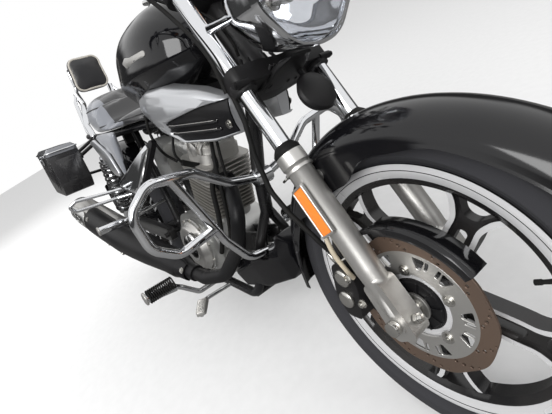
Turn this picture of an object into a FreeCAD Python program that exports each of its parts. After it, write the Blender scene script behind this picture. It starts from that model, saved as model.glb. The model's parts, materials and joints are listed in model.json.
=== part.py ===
import FreeCAD, Part
import math
import os

# A light cruiser motorcycle, parked on its side stand.
# Modelled upright, then leaned: X forward, Y to the left, Z up, millimetres,
# with the origin on the ground midway between the two axles.

V = FreeCAD.Vector
X = V(1, 0, 0)
Y = V(0, 1, 0)
Z = V(0, 0, 1)

# Stance
WHEELBASE = 1430.0
LEAN = 12.0
RAKE = 30.0
STEERING_OFFSET = 45.0

# Front wheel
FRONT_TYRE_RADIUS = 303.0
FRONT_TYRE_WIDTH = 75.0
FRONT_RIM_RADIUS = 242.0
FRONT_RIM_WIDTH = 58.0
FRONT_HUB_RADIUS = 33.0
FRONT_HUB_WIDTH = 92.0
AXLE_RADIUS = 7.5

# Rear wheel
REAR_TYRE_RADIUS = 296.0
REAR_TYRE_WIDTH = 93.0
REAR_RIM_RADIUS = 217.0
REAR_RIM_WIDTH = 74.0
REAR_HUB_RADIUS = 62.0
REAR_HUB_WIDTH = 116.0

# Both wheels
TYRE_CROWN = 44.0
CROWN_SPREAD = 24.0
SPOKE_GROUPS = 5
SPOKE_DEPTH = 30.0
SPOKE_BORDER = 8.0
SPOKE_POCKET = 6.0
FRONT_SPOKE_ANGLE = 60.0
REAR_SPOKE_ANGLE = 30.0
FLANGE = 4.0

# Front brake
DISC_RADIUS = 131.0
DISC_SIDE = -52.0
DISC_THICKNESS = 4.5
CARRIER_RADIUS = 104.0
CARRIER_HOLE = 61.0
DISC_BOLT_RADIUS = 68.0
DISC_EYE = 12.0
DISC_BOLTS = 5
DISC_FIRST_BOLT = 26.0

# Fork
FORK_SPREAD = 92.0
FORK_TUBE_RADIUS = 16.5
SLIDER_RADIUS = 23.0
SLIDER_TOP = 330.0
LOWER_CLAMP = 470.0
LOWER_CLAMP_HEIGHT = 35.0
UPPER_CLAMP = 688.0
UPPER_CLAMP_HEIGHT = 26.0
FORK_TOP = UPPER_CLAMP + UPPER_CLAMP_HEIGHT + 8
LAMP_LEVEL = (LOWER_CLAMP + UPPER_CLAMP) / 2 + 15
BAR_RISE = 73.0
GRIP_LENGTH = 116.0
BAR_RADIUS = 11.0
HEAD_GAP = 15.0
HEAD_LOW = LOWER_CLAMP + LOWER_CLAMP_HEIGHT + HEAD_GAP
HEAD_HIGH = UPPER_CLAMP - HEAD_GAP + 3
HEAD_TUBE_RADIUS = 28.0
HEAD_BORE = 21.0
STEM_RADIUS = 15.0

# Front fender
FENDER_RADIUS = 325.0
FENDER_NOSE_RADIUS = 391.0
FENDER_HALF_WIDTH = 64.0
SHEET = 3.0
FENDER_FRONT_ANGLE = 45.0
FENDER_JOINT_ANGLE = 100.0
FENDER_REAR_ANGLE = 190.0
FENDER_CENTRE_SHIFT = V(2.6, 0, 5)

# Frame
RAIL_SIDE = 78.0
RAIL_RADIUS = 13.0
RAIL_HEIGHT = 172.0
SPINE_RADIUS = 19.0
DOWNTUBE_RADIUS = 17.0
REAR_FENDER_RADIUS = REAR_TYRE_RADIUS + 54
SEAT_RAIL_HEIGHT = REAR_TYRE_RADIUS + REAR_FENDER_RADIUS + 44
SEAT_RAIL_RADIUS = 12.0
PIVOT = V(-276, 0, 300)
PIVOT_SIDE = 46.0
PIVOT_BOLT_RADIUS = 9.0

# Engine
CYLINDER_TILT = 15.0
CYLINDER_BASE = V(30, 0, 330)
BARREL_RADIUS = 46.0
FIN_COUNT = 9
FIN_PITCH = 11.5
FIN_THICKNESS = 3.5
CASE_HALF_WIDTH = 92.0
CASE_FLOOR = 192.0
EXHAUST_RADIUS = 19.0

# Running gear
CHAIN_SIDE = 70.0
CHAIN_WIDTH = 9.0
CHAIN_HEIGHT = 11.0
CHAIN_PLAY = 0.4
REAR_SPROCKET_RADIUS = 86.0
FRONT_SPROCKET_RADIUS = 31.0
FRONT_SPROCKET_CENTRE = V(-182, 0, 292)

# Seats and luggage
BACKREST_BACK = -794.0
SEAT_BASE = SEAT_RAIL_HEIGHT + SEAT_RAIL_RADIUS + 0.3
BAG_WALL = 4.0
BAG_INNER_SIDE = 208.0
BAG_OUTER_SIDE = 316.0
BAG_FRONT = -552.0
BAG_REAR = -858.0
BAG_RIM = 684.0
BAG_LOW = BAG_RIM - 154
LID_HEIGHT = 27.0
HINGE_RADIUS = 3.5
HINGE_SIDE = BAG_INNER_SIDE - 4
HINGE_HEIGHT = BAG_RIM + 1.5

# Fits
GAP = 0.3
GRILLE_DEPTH = 12.0
RUNNING_GAP = 6.0

FRONT_AXLE = V(WHEELBASE / 2, 0, FRONT_TYRE_RADIUS)
REAR_AXLE = V(-WHEELBASE / 2, 0, REAR_TYRE_RADIUS)
RAKE_SINE = math.sin(math.radians(RAKE))
RAKE_COSINE = math.cos(math.radians(RAKE))
FORK_UP = V(-RAKE_SINE, 0, RAKE_COSINE)
FORK_AHEAD = V(RAKE_COSINE, 0, RAKE_SINE)
TILT_SINE = math.sin(math.radians(CYLINDER_TILT))
TILT_COSINE = math.cos(math.radians(CYLINDER_TILT))
CYLINDER_UP = V(TILT_SINE, 0, TILT_COSINE)
CYLINDER_AHEAD = V(TILT_COSINE, 0, -TILT_SINE)

# Where things meet
BAR_MIDDLE = FRONT_AXLE + FORK_UP * (UPPER_CLAMP + UPPER_CLAMP_HEIGHT + BAR_RISE)
BAR_BEND = BAR_MIDDLE + V(-4, -90, 0)
BAR_KNEE = BAR_MIDDLE + V(-60, -215, 67)
BAR_ELBOW = BAR_MIDDLE + V(-122, -290, 69)
GRIP_END = BAR_MIDDLE + V(-226, -432, 39)
LAMP = FRONT_AXLE + FORK_UP * LAMP_LEVEL
DIAL_CENTRE = LAMP + V(2, 0, 174.6)
HEAD_BASE = 186.0
INTAKE_ROOT = CYLINDER_BASE + CYLINDER_UP * (HEAD_BASE + 30) - CYLINDER_AHEAD * 50
INTAKE_MOUTH = CYLINDER_BASE + CYLINDER_UP * (HEAD_BASE + 36) - CYLINDER_AHEAD * 92
EXHAUST_ROOT = CYLINDER_BASE + CYLINDER_UP * (HEAD_BASE + 28) + CYLINDER_AHEAD * 50 - Y * 30
EXHAUST_MOUTH = CYLINDER_BASE + CYLINDER_UP * (HEAD_BASE + 18) + CYLINDER_AHEAD * 92 - Y * 38
MUFFLER_FRONT = V(66, -172, 264)
MUFFLER_MIDDLE = V(-380, -216, 330)
MUFFLER_REAR = V(-872, -250, 420)
STAND_PIVOT = V(-62, 122, 196)
STAND_FOOT = V(-18, 250, 0)
STAND_AXIS = V(0, 0.948, 0.319) * (1 / math.hypot(0.948, 0.319))
SWINGARM_INNER = 84.0
SWINGARM_OUTER = 108.0
SHOCK_SIDE = 128.0
SKIRT_SIDE = -160.0
GUARD_STATION = 300.0
GUARD_RADIUS = 11.0
STAND_EYE = 18.0


# Helpers

def unit(vector):
    """The vector's direction, one millimetre long."""
    return vector * (1 / vector.Length)


def plane(origin, across, up):
    """A function that puts flat (across, up) coordinates into space."""
    return lambda a, b: origin + across * a + up * b


def side_view(side):
    """Flat (x, z) coordinates at a distance to the left of the mid plane."""
    return plane(Y * side, X, Z)


def front_view(station):
    """Flat (y, z) coordinates at a station along the bike."""
    return plane(X * station, Y, Z)


def rounded(corners, place):
    """A closed wire whose corners (across, up, share) are rounded.

    share is the part of the shorter side beside a corner that its arc takes.
    """
    flat_points = [V(a, b, 0) for a, b, share in corners]
    arcs = []
    for i, (across, up, share) in enumerate(corners):
        here = flat_points[i]
        back = flat_points[i - 1] - here
        on = flat_points[(i + 1) % len(corners)] - here
        reach = share * min(back.Length, on.Length)
        back = unit(back)
        on = unit(on)
        half_angle = back.getAngle(on) / 2
        bisector = unit(back + on)
        depth = reach / math.cos(half_angle) - reach * math.tan(half_angle)
        flat_arc = (here + back * reach, here + bisector * depth, here + on * reach)
        arcs.append([place(point.x, point.y) for point in flat_arc])
    edges = []
    for i, (start, middle, end) in enumerate(arcs):
        following = arcs[(i + 1) % len(arcs)][0]
        edges.append(Part.Arc(start, middle, end).toShape())
        edges.append(Part.LineSegment(end, following).toShape())
    return Part.Wire(edges)


def slab(corners, place, sweep):
    """A rounded outline pushed along a vector."""
    return Part.Face(rounded(corners, place)).extrude(sweep)


def same_share(points, share):
    """Corner rows for rounded() that all take one share."""
    return [(a, b, share) for a, b in points]


def loft(wires, ruled=False):
    """A solid skin through closed wires."""
    return Part.makeLoft(wires, True, ruled)


def block(low, high):
    """A plain box between two opposite corners."""
    size = high - low
    return Part.makeBox(size.x, size.y, size.z, low)


def rod(start, end, radius):
    """A round bar between two points."""
    run = end - start
    return Part.makeCylinder(radius, run.Length, start, run)


def pipe(start, end, outer, inner):
    """A straight tube between two points."""
    return rod(start, end, outer).cut(rod(start, end, inner))


def bent_wire(points, bend):
    """Straight runs joined by tangent arcs of about one bend radius."""
    edges = []
    here = points[0]
    for before, corner, after in zip(points, points[1:], points[2:]):
        back = before - corner
        on = after - corner
        longest = 0.48 * min(back.Length, on.Length)
        back = unit(back)
        on = unit(on)
        half_angle = back.getAngle(on) / 2
        reach = min(bend / math.tan(half_angle), longest)
        depth = reach / math.cos(half_angle) - reach * math.tan(half_angle)
        start = corner + back * reach
        middle = corner + unit(back + on) * depth
        end = corner + on * reach
        edges.append(Part.LineSegment(here, start).toShape())
        edges.append(Part.Arc(start, middle, end).toShape())
        here = end
    edges.append(Part.LineSegment(here, points[-1]).toShape())
    return Part.Wire(edges)


def bent_rod(points, radius, bend):
    """A round bar bent along a path."""
    section = Part.Wire(Part.makeCircle(radius, points[0], points[1] - points[0]))
    return bent_wire(points, bend).makePipeShell([section], True, False)


def turned_wheelwise(profile, centre, start=0.0, sweep=360.0):
    """A solid turned about a crosswise axle from (radius, side) points."""
    angle = math.radians(start)
    outward = V(math.cos(angle), 0, math.sin(angle))
    points = [centre + outward * radius + Y * side for radius, side in profile]
    face = Part.Face(Part.makePolygon(points + points[:1]))
    return face.revolve(centre, -Y, sweep)


def turned_along(profile, start, direction):
    """A solid turned about a line from (distance along, radius) points."""
    ahead = unit(direction)
    outward = unit(ahead.cross(Y) if abs(ahead.y) < 0.9 else ahead.cross(Z))
    points = [start + ahead * along + outward * radius for along, radius in profile]
    face = Part.Face(Part.makePolygon(points + points[:1]))
    return face.revolve(start, ahead, 360)


def mirrored(shape):
    """The same piece on the other side of the bike."""
    return shape.mirror(V(0, 0, 0), Y)


def both_sides(shape):
    """A piece and its mirror image, as separate solids."""
    return Part.makeCompound([shape, mirrored(shape)])


def fused(shapes):
    """One solid from pieces that overlap."""
    return shapes[0].multiFuse(shapes[1:]).removeSplitter()


def flip(point):
    """A point's mirror image on the other side of the bike."""
    return V(point.x, -point.y, point.z)


def fork(up, ahead=0.0, side=0.0):
    """A point by its distances along, ahead of and beside the fork legs."""
    return FRONT_AXLE + FORK_UP * up + FORK_AHEAD * ahead + Y * side


def engine(up, ahead=0.0, side=0.0):
    """A point by its distances along, ahead of and beside the cylinder."""
    return CYLINDER_BASE + CYLINDER_UP * up + CYLINDER_AHEAD * ahead + Y * side


def polar(centre, radius, angle, side=0.0):
    """A point round a wheel, the angle going up from straight ahead."""
    turn = math.radians(angle)
    return centre + V(radius * math.cos(turn), side, radius * math.sin(turn))


# Wheels

def rim_profile(radius, width):
    """Closed (radius, side) outline of a cast rim with two bead flanges."""
    edge = width / 2
    half = [
        (radius, edge - FLANGE - 1),
        (radius, edge - 1),
        (radius - 6, edge),
        (radius - 18, edge - 3),
        (radius - 38, edge * 0.52),
        (radius - 38, -edge * 0.52),
    ]
    inner = [
        (radius - 28, -edge * 0.3),
        (radius - 28, edge * 0.3),
        (radius - 14, edge - FLANGE - 3),
    ]
    left = half[:5]
    right = [(r, -side) for r, side in reversed(left)]
    well = inner[1:]
    far_well = [(r, -side) for r, side in reversed(well)]
    return left + right + far_well + well


def tyre(centre, radius, width, rim_radius, rim_width):
    """A tyre whose crown is a true arc, so that it also stands leaned over."""
    spread = math.radians(CROWN_SPREAD)
    crown = radius - TYRE_CROWN
    shoulder = (crown + TYRE_CROWN * math.cos(spread), TYRE_CROWN * math.sin(spread))
    widest = (radius * 0.42 + rim_radius * 0.58, width / 2)
    flange_face = rim_width / 2 - FLANGE - 1
    wall = (rim_radius + 2, flange_face - GAP)
    bead = (rim_radius - 14 + GAP, flange_face - 2 - GAP)

    def at(point, sign):
        return centre + X * point[0] + Y * (sign * point[1])

    side = [shoulder, widest, wall, bead]
    left = [at(point, 1) for point in side]
    right = [at(point, -1) for point in reversed(side)]
    crown_arc = Part.Arc(right[-1], centre + X * radius, left[0]).toShape()
    walls = Part.makePolygon(left + right)
    return Part.Face(Part.Wire([crown_arc] + walls.Edges)).revolve(centre, Y, 360)


def spoke_outline(inner, waist, reach, border, root):
    """Outline of a spoke group, drawn in by a border, from a root radius out."""
    half = [(root, 25 - border, 0.1), (waist - 24, 26 - border, 0.4), (waist + border / 2, 24 - border, 0.4),
            (reach - 22 + border / 2, 36 - border, 0.4), (reach + 1 - border / 2, 58 - border * 1.6, 0.1)]
    return [(radius, -side, share) for radius, side, share in half] + list(reversed(half))


def spoke_group(centre, angle, hub_radius, rim_radius):
    """Two cast bars that close to a waist and then branch out to the rim.

    Both faces are pocketed, which leaves a raised border to machine bright.
    """
    reach = rim_radius - 30
    inner = hub_radius - 6
    waist = inner + (reach - inner) * 0.74
    slot = [
        (inner + 34, -9, 0.45), (waist - 14, -8, 0.45), (waist - 14, 8, 0.45),
        (inner + 34, 9, 0.45),
    ]
    window = [
        (waist + 10, -10, 0.45), (reach - 18, -24, 0.4), (reach - 1, -36, 0.2),
        (reach - 1, 36, 0.2), (reach - 18, 24, 0.4), (waist + 10, 10, 0.45),
    ]
    turn = math.radians(angle)
    outward = V(math.cos(turn), 0, math.sin(turn))
    along = V(-math.sin(turn), 0, math.cos(turn))
    face = SPOKE_DEPTH / 2
    right = plane(centre - Y * face, outward, along)
    left = plane(centre + Y * face, outward, along)
    pocket = spoke_outline(inner, waist, reach, SPOKE_BORDER, inner + 22)
    bars = slab(spoke_outline(inner, waist, reach, 0, inner), right, Y * SPOKE_DEPTH)
    cuts = [slab(slot, right, Y * SPOKE_DEPTH), slab(window, right, Y * SPOKE_DEPTH),
            slab(pocket, right, Y * SPOKE_POCKET), slab(pocket, left, Y * -SPOKE_POCKET)]
    return bars.cut(Part.makeCompound(cuts))


def cast_wheel(centre, rim_radius, rim_width, hub_radius, hub_width, first_angle):
    """Rim, spoke groups and hub as one casting, bored for its axle."""
    half = hub_width / 2
    hub = turned_wheelwise(
        [(AXLE_RADIUS + GAP, -half), (hub_radius - 7, -half), (hub_radius, -half + 7),
         (hub_radius, half - 7), (hub_radius - 7, half), (AXLE_RADIUS + GAP, half)], centre)
    rim = turned_wheelwise(rim_profile(rim_radius, rim_width), centre)
    pieces = [rim, hub]
    for i in range(SPOKE_GROUPS):
        angle = first_angle + i * 360 / SPOKE_GROUPS
        pieces.append(spoke_group(centre, angle, hub_radius, rim_radius))
    return fused(pieces)


def front_wheel():
    """Front casting with a flange that carries the disc."""
    casting = cast_wheel(FRONT_AXLE, FRONT_RIM_RADIUS, FRONT_RIM_WIDTH, FRONT_HUB_RADIUS,
                         FRONT_HUB_WIDTH, FRONT_SPOKE_ANGLE)
    face = DISC_SIDE + DISC_THICKNESS / 2
    flange = turned_wheelwise(
        [(FRONT_HUB_RADIUS - 10, face + 9), (FRONT_HUB_RADIUS - 10, face + GAP),
         (DISC_BOLT_RADIUS + 9, face + GAP), (DISC_BOLT_RADIUS + 9, face + 9)], FRONT_AXLE)
    skirt = turned_wheelwise(
        [(FRONT_HUB_RADIUS - 4, face + 8), (DISC_BOLT_RADIUS + 4, face + 8),
         (FRONT_HUB_RADIUS + 4, -SPOKE_DEPTH / 2 + 2), (FRONT_HUB_RADIUS - 4, -SPOKE_DEPTH / 2 + 2)],
        FRONT_AXLE)
    return fused([casting, flange, skirt])


def front_tyre():
    return tyre(FRONT_AXLE, FRONT_TYRE_RADIUS, FRONT_TYRE_WIDTH, FRONT_RIM_RADIUS,
                FRONT_RIM_WIDTH)


def disc_ring(inner, outer):
    """A flat ring in the disc's plane."""
    half = DISC_THICKNESS / 2
    return turned_wheelwise([(inner, DISC_SIDE - half), (outer, DISC_SIDE - half),
                             (outer, DISC_SIDE + half), (inner, DISC_SIDE + half)], FRONT_AXLE)


def disc_cut(corners, share, angle):
    """A rounded cutter through the disc, drawn radially and turned to an angle."""
    turn = math.radians(angle)
    place = plane(FRONT_AXLE + Y * (DISC_SIDE - DISC_THICKNESS), V(math.cos(turn), 0, math.sin(turn)),
                  V(-math.sin(turn), 0, math.cos(turn)))
    return slab(same_share(corners, share), place, Y * (2 * DISC_THICKNESS))


def brake_disc():
    """Brake ring on a carrier with bolt eyes, wedge windows and narrow slots."""
    half = Y * (DISC_THICKNESS / 2)
    step = 360 / DISC_BOLTS
    eyes = []
    cuts = []
    for i in range(DISC_BOLTS):
        angle = DISC_FIRST_BOLT + i * step
        eye = polar(FRONT_AXLE, DISC_BOLT_RADIUS, angle, DISC_SIDE)
        eyes.append(rod(eye - half, eye + half, DISC_EYE))
        cuts += [disc_cut([(76, -3), (97, -12), (97, 10), (76, 4)], 0.3, angle + side * 21)
                 for side in (-1, 1)]
        cuts += [disc_cut([(80, -2.6), (97, -2.9), (97, 2.9), (80, 2.6)], 0.45, angle + step / 2 + side * 6.5)
                 for side in (-1, 1)]
    disc = fused([disc_ring(CARRIER_HOLE, DISC_RADIUS)] + eyes)
    return disc.cut(Part.makeCompound(cuts))


def front_axle():
    """Spindle through the hub with a collar on each side and a capped nut."""
    reach = FORK_SPREAD + SLIDER_RADIUS
    spindle = rod(FRONT_AXLE - Y * reach, FRONT_AXLE + Y * reach, AXLE_RADIUS)
    nut = rod(FRONT_AXLE - Y * (reach + 12), FRONT_AXLE - Y * (reach + GAP), 13)
    head = rod(FRONT_AXLE + Y * (reach + GAP), FRONT_AXLE + Y * (reach + 10), 13)
    inside = FORK_SPREAD - SLIDER_RADIUS - GAP
    hub_face = FRONT_HUB_WIDTH / 2 + 1
    disc_face = -DISC_SIDE + DISC_THICKNESS / 2 + 1
    right_collar = rod(FRONT_AXLE - Y * inside, FRONT_AXLE - Y * disc_face, 14)
    left_collar = rod(FRONT_AXLE + Y * hub_face, FRONT_AXLE + Y * inside, 14)
    return fused([spindle, nut, head, right_collar, left_collar,
                  rod(FRONT_AXLE - Y * (reach + 12), FRONT_AXLE + Y * (reach + 10), AXLE_RADIUS)])


def rear_wheel():
    return cast_wheel(REAR_AXLE, REAR_RIM_RADIUS, REAR_RIM_WIDTH, REAR_HUB_RADIUS,
                      REAR_HUB_WIDTH, REAR_SPOKE_ANGLE)


def rear_tyre():
    return tyre(REAR_AXLE, REAR_TYRE_RADIUS, REAR_TYRE_WIDTH, REAR_RIM_RADIUS, REAR_RIM_WIDTH)


def rear_sprocket():
    """Toothed ring bolted to the hub's left face."""
    teeth = 42
    root = REAR_SPROCKET_RADIUS - 4
    tip = REAR_SPROCKET_RADIUS + CHAIN_PLAY - GAP
    points = []
    for i in range(teeth):
        for part, radius in ((0.0, root), (0.3, tip), (0.7, tip)):
            angle = (i + part) * 360 / teeth
            points.append(polar(REAR_AXLE, radius, angle, CHAIN_SIDE - 3))
    plate = Part.Face(Part.makePolygon(points + points[:1])).extrude(Y * 6)
    centre_hole = rod(REAR_AXLE + Y * (CHAIN_SIDE - 4), REAR_AXLE + Y * (CHAIN_SIDE + 4), 34)
    hub_face = REAR_HUB_WIDTH / 2 + GAP
    boss = pipe(REAR_AXLE + Y * hub_face, REAR_AXLE + Y * (CHAIN_SIDE - 3), REAR_HUB_RADIUS - 10, 34)
    return fused([plate.cut(centre_hole), boss])


def rear_axle():
    """Spindle with a nut outside each swingarm end."""
    reach = SWINGARM_OUTER + 2
    spindle = rod(REAR_AXLE - Y * reach, REAR_AXLE + Y * reach, AXLE_RADIUS)
    nuts = [rod(REAR_AXLE + Y * (side * (SWINGARM_OUTER + GAP)),
                REAR_AXLE + Y * (side * (SWINGARM_OUTER + 14)), 14) for side in (-1, 1)]
    collars = [rod(REAR_AXLE + Y * (side * (REAR_HUB_WIDTH / 2 + 1)),
                   REAR_AXLE + Y * (side * (SWINGARM_INNER - GAP)), 16) for side in (-1, 1)]
    return fused([spindle] + nuts + collars)


# Steering

def fork_sliders():
    """Cast lower legs with the axle lugs and the fender lugs."""
    profile = [(-12, 0), (-12, 19), (0, 21), (60, 21), (100, SLIDER_RADIUS),
               (SLIDER_TOP - 26, SLIDER_RADIUS), (SLIDER_TOP - 22, SLIDER_RADIUS + 3),
               (SLIDER_TOP, SLIDER_RADIUS + 3), (SLIDER_TOP, FORK_TUBE_RADIUS + GAP),
               (190, FORK_TUBE_RADIUS + GAP), (190, 0)]
    leg = turned_along(profile, fork(0, 0, -FORK_SPREAD), FORK_UP)
    lug = rod(fork(0, 0, -FORK_SPREAD - SLIDER_RADIUS), fork(0, 0, -FORK_SPREAD + SLIDER_RADIUS), 17)
    foot = slab(same_share([(-25, -30), (25, -30), (21, 76), (-21, 76)], 0.24),
                plane(fork(0, 0, -FORK_SPREAD - 19), FORK_AHEAD, FORK_UP), Y * 38)
    fender_lug = rod(fork(272, 0, -FORK_SPREAD + 19), fork(272, 0, -FENDER_HALF_WIDTH - GAP), 12)
    hole = rod(fork(0, 0, -FORK_SPREAD - SLIDER_RADIUS - 1),
               fork(0, 0, -FORK_SPREAD + SLIDER_RADIUS + 1), AXLE_RADIUS)
    slider = fused([leg, lug, foot, fender_lug]).cut(hole)
    return both_sides(slider)


def fork_tubes():
    """Plated inner tubes from inside the sliders to the upper clamp."""
    return both_sides(rod(fork(192, 0, -FORK_SPREAD), fork(FORK_TOP, 0, -FORK_SPREAD),
                          FORK_TUBE_RADIUS))


def clamp_plate(low, height, back, front):
    """One clamp across both legs, with a tongue back to the steering stem."""
    corners = same_share([(front, -FORK_SPREAD - 22), (front, -40), (front - 6, 0), (front, 40),
                          (front, FORK_SPREAD + 22), (-24, FORK_SPREAD + 22),
                          (back, 15), (back, -15), (-24, -FORK_SPREAD - 22)], 0.3)
    place = plane(fork(low), FORK_AHEAD, Y)
    plate = slab(corners, place, FORK_UP * height)
    holes = [rod(fork(low - 1, 0, side * FORK_SPREAD), fork(low + height + 1, 0, side * FORK_SPREAD),
                 FORK_TUBE_RADIUS) for side in (-1, 1)]
    return plate.cut(Part.makeCompound(holes))


def horn():
    """Disc horn on a strap under the lower clamp."""
    centre = fork(LOWER_CLAMP - 58, 2, 36)
    body = turned_along([(0, 0), (0, 36), (12, 42), (18, 38), (24, 20), (24, 0)], centre, FORK_AHEAD)
    foot = centre + FORK_AHEAD * 8
    return fused([body, rod(foot, foot + FORK_UP * 62, 6)])


def fork_clamps():
    """Lower and upper clamp on the steering stem, with the horn below."""
    axis = -STEERING_OFFSET
    lower = clamp_plate(LOWER_CLAMP, LOWER_CLAMP_HEIGHT, axis - 23, 25)
    upper = clamp_plate(UPPER_CLAMP, UPPER_CLAMP_HEIGHT, axis - 23, 25)
    stem = rod(fork(LOWER_CLAMP + 5, axis), fork(UPPER_CLAMP + UPPER_CLAMP_HEIGHT - 2, axis),
               STEM_RADIUS)
    nut = rod(fork(UPPER_CLAMP + UPPER_CLAMP_HEIGHT - 3, axis),
              fork(UPPER_CLAMP + UPPER_CLAMP_HEIGHT + 14, axis), 18)
    bearings = [rod(fork(low, axis), fork(low + 12, axis), HEAD_BORE - GAP)
                for low in (HEAD_LOW, HEAD_HIGH - 12)]
    return fused([lower, upper, stem, nut, horn()] + bearings)


def fender_section(crown):
    """Closed (radius, side) outline of the fender's shell below its crown."""
    edge = FENDER_HALF_WIDTH
    # drop below the crown, side
    right = [(0, 22), (10, 46), (26, 60), (42, edge)]
    outer = [(crown - drop, side) for drop, side in right]
    inner = [(crown - drop - SHEET * 0.6, side - SHEET) for drop, side in reversed(right)]
    half = outer + inner
    return half + [(radius, -side) for radius, side in reversed(half)]


def front_fender():
    """Deep crowned fender whose nose lifts away from the tyre, with valances by the legs."""
    centre = FRONT_AXLE + FENDER_CENTRE_SHIFT
    joint = polar(V(0, 0, 0), 1, FENDER_JOINT_ANGLE)
    nose_centre = centre - joint * (FENDER_NOSE_RADIUS - FENDER_RADIUS)
    rear = turned_wheelwise(fender_section(FENDER_RADIUS), centre, FENDER_JOINT_ANGLE,
                            FENDER_REAR_ANGLE - FENDER_JOINT_ANGLE)
    nose = turned_wheelwise(fender_section(FENDER_NOSE_RADIUS), nose_centre, FENDER_FRONT_ANGLE,
                            FENDER_JOINT_ANGLE - FENDER_FRONT_ANGLE)
    # angle round the wheel, inner radius of the valance there
    valance_rows = [(74, 292), (94, 270), (112, 234), (138, 234), (152, 266), (184, 282)]
    lower = [polar(V(0, 0, 0), radius, angle) for angle, radius in valance_rows]
    upper = [polar(V(0, 0, 0), FENDER_RADIUS - 32, angle) for angle in (184, 160, 136, 112, 92, 74)]
    corners = [(point.x, point.z, 0.25) for point in lower + upper]
    valance = slab(corners, plane(FRONT_AXLE - Y * FENDER_HALF_WIDTH, X, Z), Y * SHEET)
    return fused([nose, rear, valance, mirrored(valance)])


def headlamp_outline(scale):
    """Shield outline of the lamp, (side, height) from its middle, scaled."""
    low = LAMP.z - 75.4
    high = low + 178
    middle = (low + high) / 2
    rows = [(0, low), (52, low + 8), (104, low + 70), (107, low + 108), (92, low + 153), (48, high),
            (0, high + 3)]
    right = [(side * scale, middle + (height - middle) * scale) for side, height in rows]
    left = [(-side, height) for side, height in reversed(right[1:-1])]
    return same_share(right + left, 0.3)


def lamp_loft(rows):
    """A solid through the lamp's outline at (distance ahead, scale) rows."""
    return loft([rounded(headlamp_outline(scale), front_view(LAMP.x + ahead)) for ahead, scale in rows])


def headlamp_shell():
    """Hollow plated lamp housing, open to the front."""
    # distance ahead of the fork's middle, scale of the outline
    outer = lamp_loft([(176, 1.0), (142, 1.0), (92, 0.9), (50, 0.68)])
    # the hollow stops short of the back wall
    hollow = lamp_loft([(177, 0.955), (142, 0.955), (92, 0.85), (56, 0.62)])
    bowl = outer.cut(hollow)
    ears = [rod(LAMP + V(68, side * 50, 12.6), fork(LAMP_LEVEL, FORK_TUBE_RADIUS - 2, side * FORK_SPREAD), 9)
            for side in (-1, 1)]
    tubes = Part.makeCompound([rod(fork(400, 0, side * FORK_SPREAD), fork(FORK_TOP, 0, side * FORK_SPREAD),
                                   FORK_TUBE_RADIUS + GAP) for side in (-1, 1)])
    return fused([bowl] + ears).cut(tubes)


def headlamp_lens():
    """Clear lens that bulges forward out of the housing."""
    return lamp_loft([(170, 0.94), (182, 0.94), (196, 0.86), (204, 0.62)])


def instrument():
    """Round speedometer pod on a bracket above the lamp."""
    centre = DIAL_CENTRE
    down = unit(V(0.35, 0, -0.94))
    pod = turned_along([(0, 0), (0, 40), (5, 44), (26, 44), (46, 30), (50, 0)], centre, down)
    foot = fork(UPPER_CLAMP + UPPER_CLAMP_HEIGHT + GAP, 6)
    knee = foot + FORK_UP * 16
    return fused([pod, rod(foot, knee + FORK_UP * 4, 9), rod(knee, centre + down * 45, 8)])


def handlebar():
    """Pulled-back bar on two risers."""
    right = bent_rod([BAR_MIDDLE, BAR_BEND, BAR_KNEE, BAR_ELBOW, GRIP_END], BAR_RADIUS, 60)
    risers = []
    for side in (-48, 48):
        foot = fork(UPPER_CLAMP + UPPER_CLAMP_HEIGHT + GAP, -STEERING_OFFSET + 12, side)
        risers.append(rod(foot, foot + FORK_UP * 18, 17))
        holder = BAR_MIDDLE + V(-2, side, 0)
        risers.append(rod(foot + FORK_UP * 12, holder, 13))
        risers.append(rod(holder - Y * 16, holder + Y * 16, 19))
    return fused([right, mirrored(right)] + risers)


def grip_run():
    """Direction of the right bar end."""
    return unit(GRIP_END - BAR_ELBOW)


def perch():
    """Middle of the right lever's clamp on the bar."""
    return GRIP_END - grip_run() * (GRIP_LENGTH + 38)


def hand_controls():
    """Grips, switch housings and levers on both ends of the bar."""
    run = grip_run()
    bore = rod(GRIP_END, GRIP_END - run * 190, BAR_RADIUS + GAP)
    grip = rod(GRIP_END - run * GRIP_LENGTH, GRIP_END + run * 5, 17)
    hub = GRIP_END - run * (GRIP_LENGTH + 1)
    pod = rod(hub - run * 28, hub, 22)
    middle = perch()
    clamp = rod(middle - run * 8, middle + run * 10, 17)
    arm = rod(middle + V(8, 0, 1), middle + V(44, 2, 4), 7)
    lever = bent_rod([middle + V(40, 8, 4), middle + V(58, -26, 2), middle + V(44, -90, -6),
                      middle + V(20, -160, -16)], 5.5, 30)
    controls = fused([pod, clamp, arm, lever]).cut(bore)
    return Part.makeCompound([both_sides(grip.cut(bore)), both_sides(controls)])


def mirrors():
    """Stalks and oval housings above the lever clamps."""
    foot = perch() + Z * (18 + GAP)
    stalk = bent_rod([foot, foot + V(2, 0, 60), foot + V(14, -60, 120), foot + V(12, -80, 146)], 5, 30)
    centre = foot + V(8, -98, 168)
    ahead = unit(V(1, 0.15, -0.1))
    across = unit(Y + X * -0.15)
    up = ahead.cross(across)

    def oval(depth, width, height):
        rows = [(-width, -height * 0.6), (-width * 0.5, -height), (width * 0.6, -height * 0.9),
                (width, -height * 0.1), (width * 0.8, height * 0.85), (-width * 0.5, height)]
        return rounded(same_share(rows, 0.4), plane(centre + ahead * depth, across, up))

    shell = loft([oval(-12, 58, 36), oval(-2, 60, 38), oval(10, 48, 28), oval(16, 26, 14)], True)
    return both_sides(fused([stalk, shell]))


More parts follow.
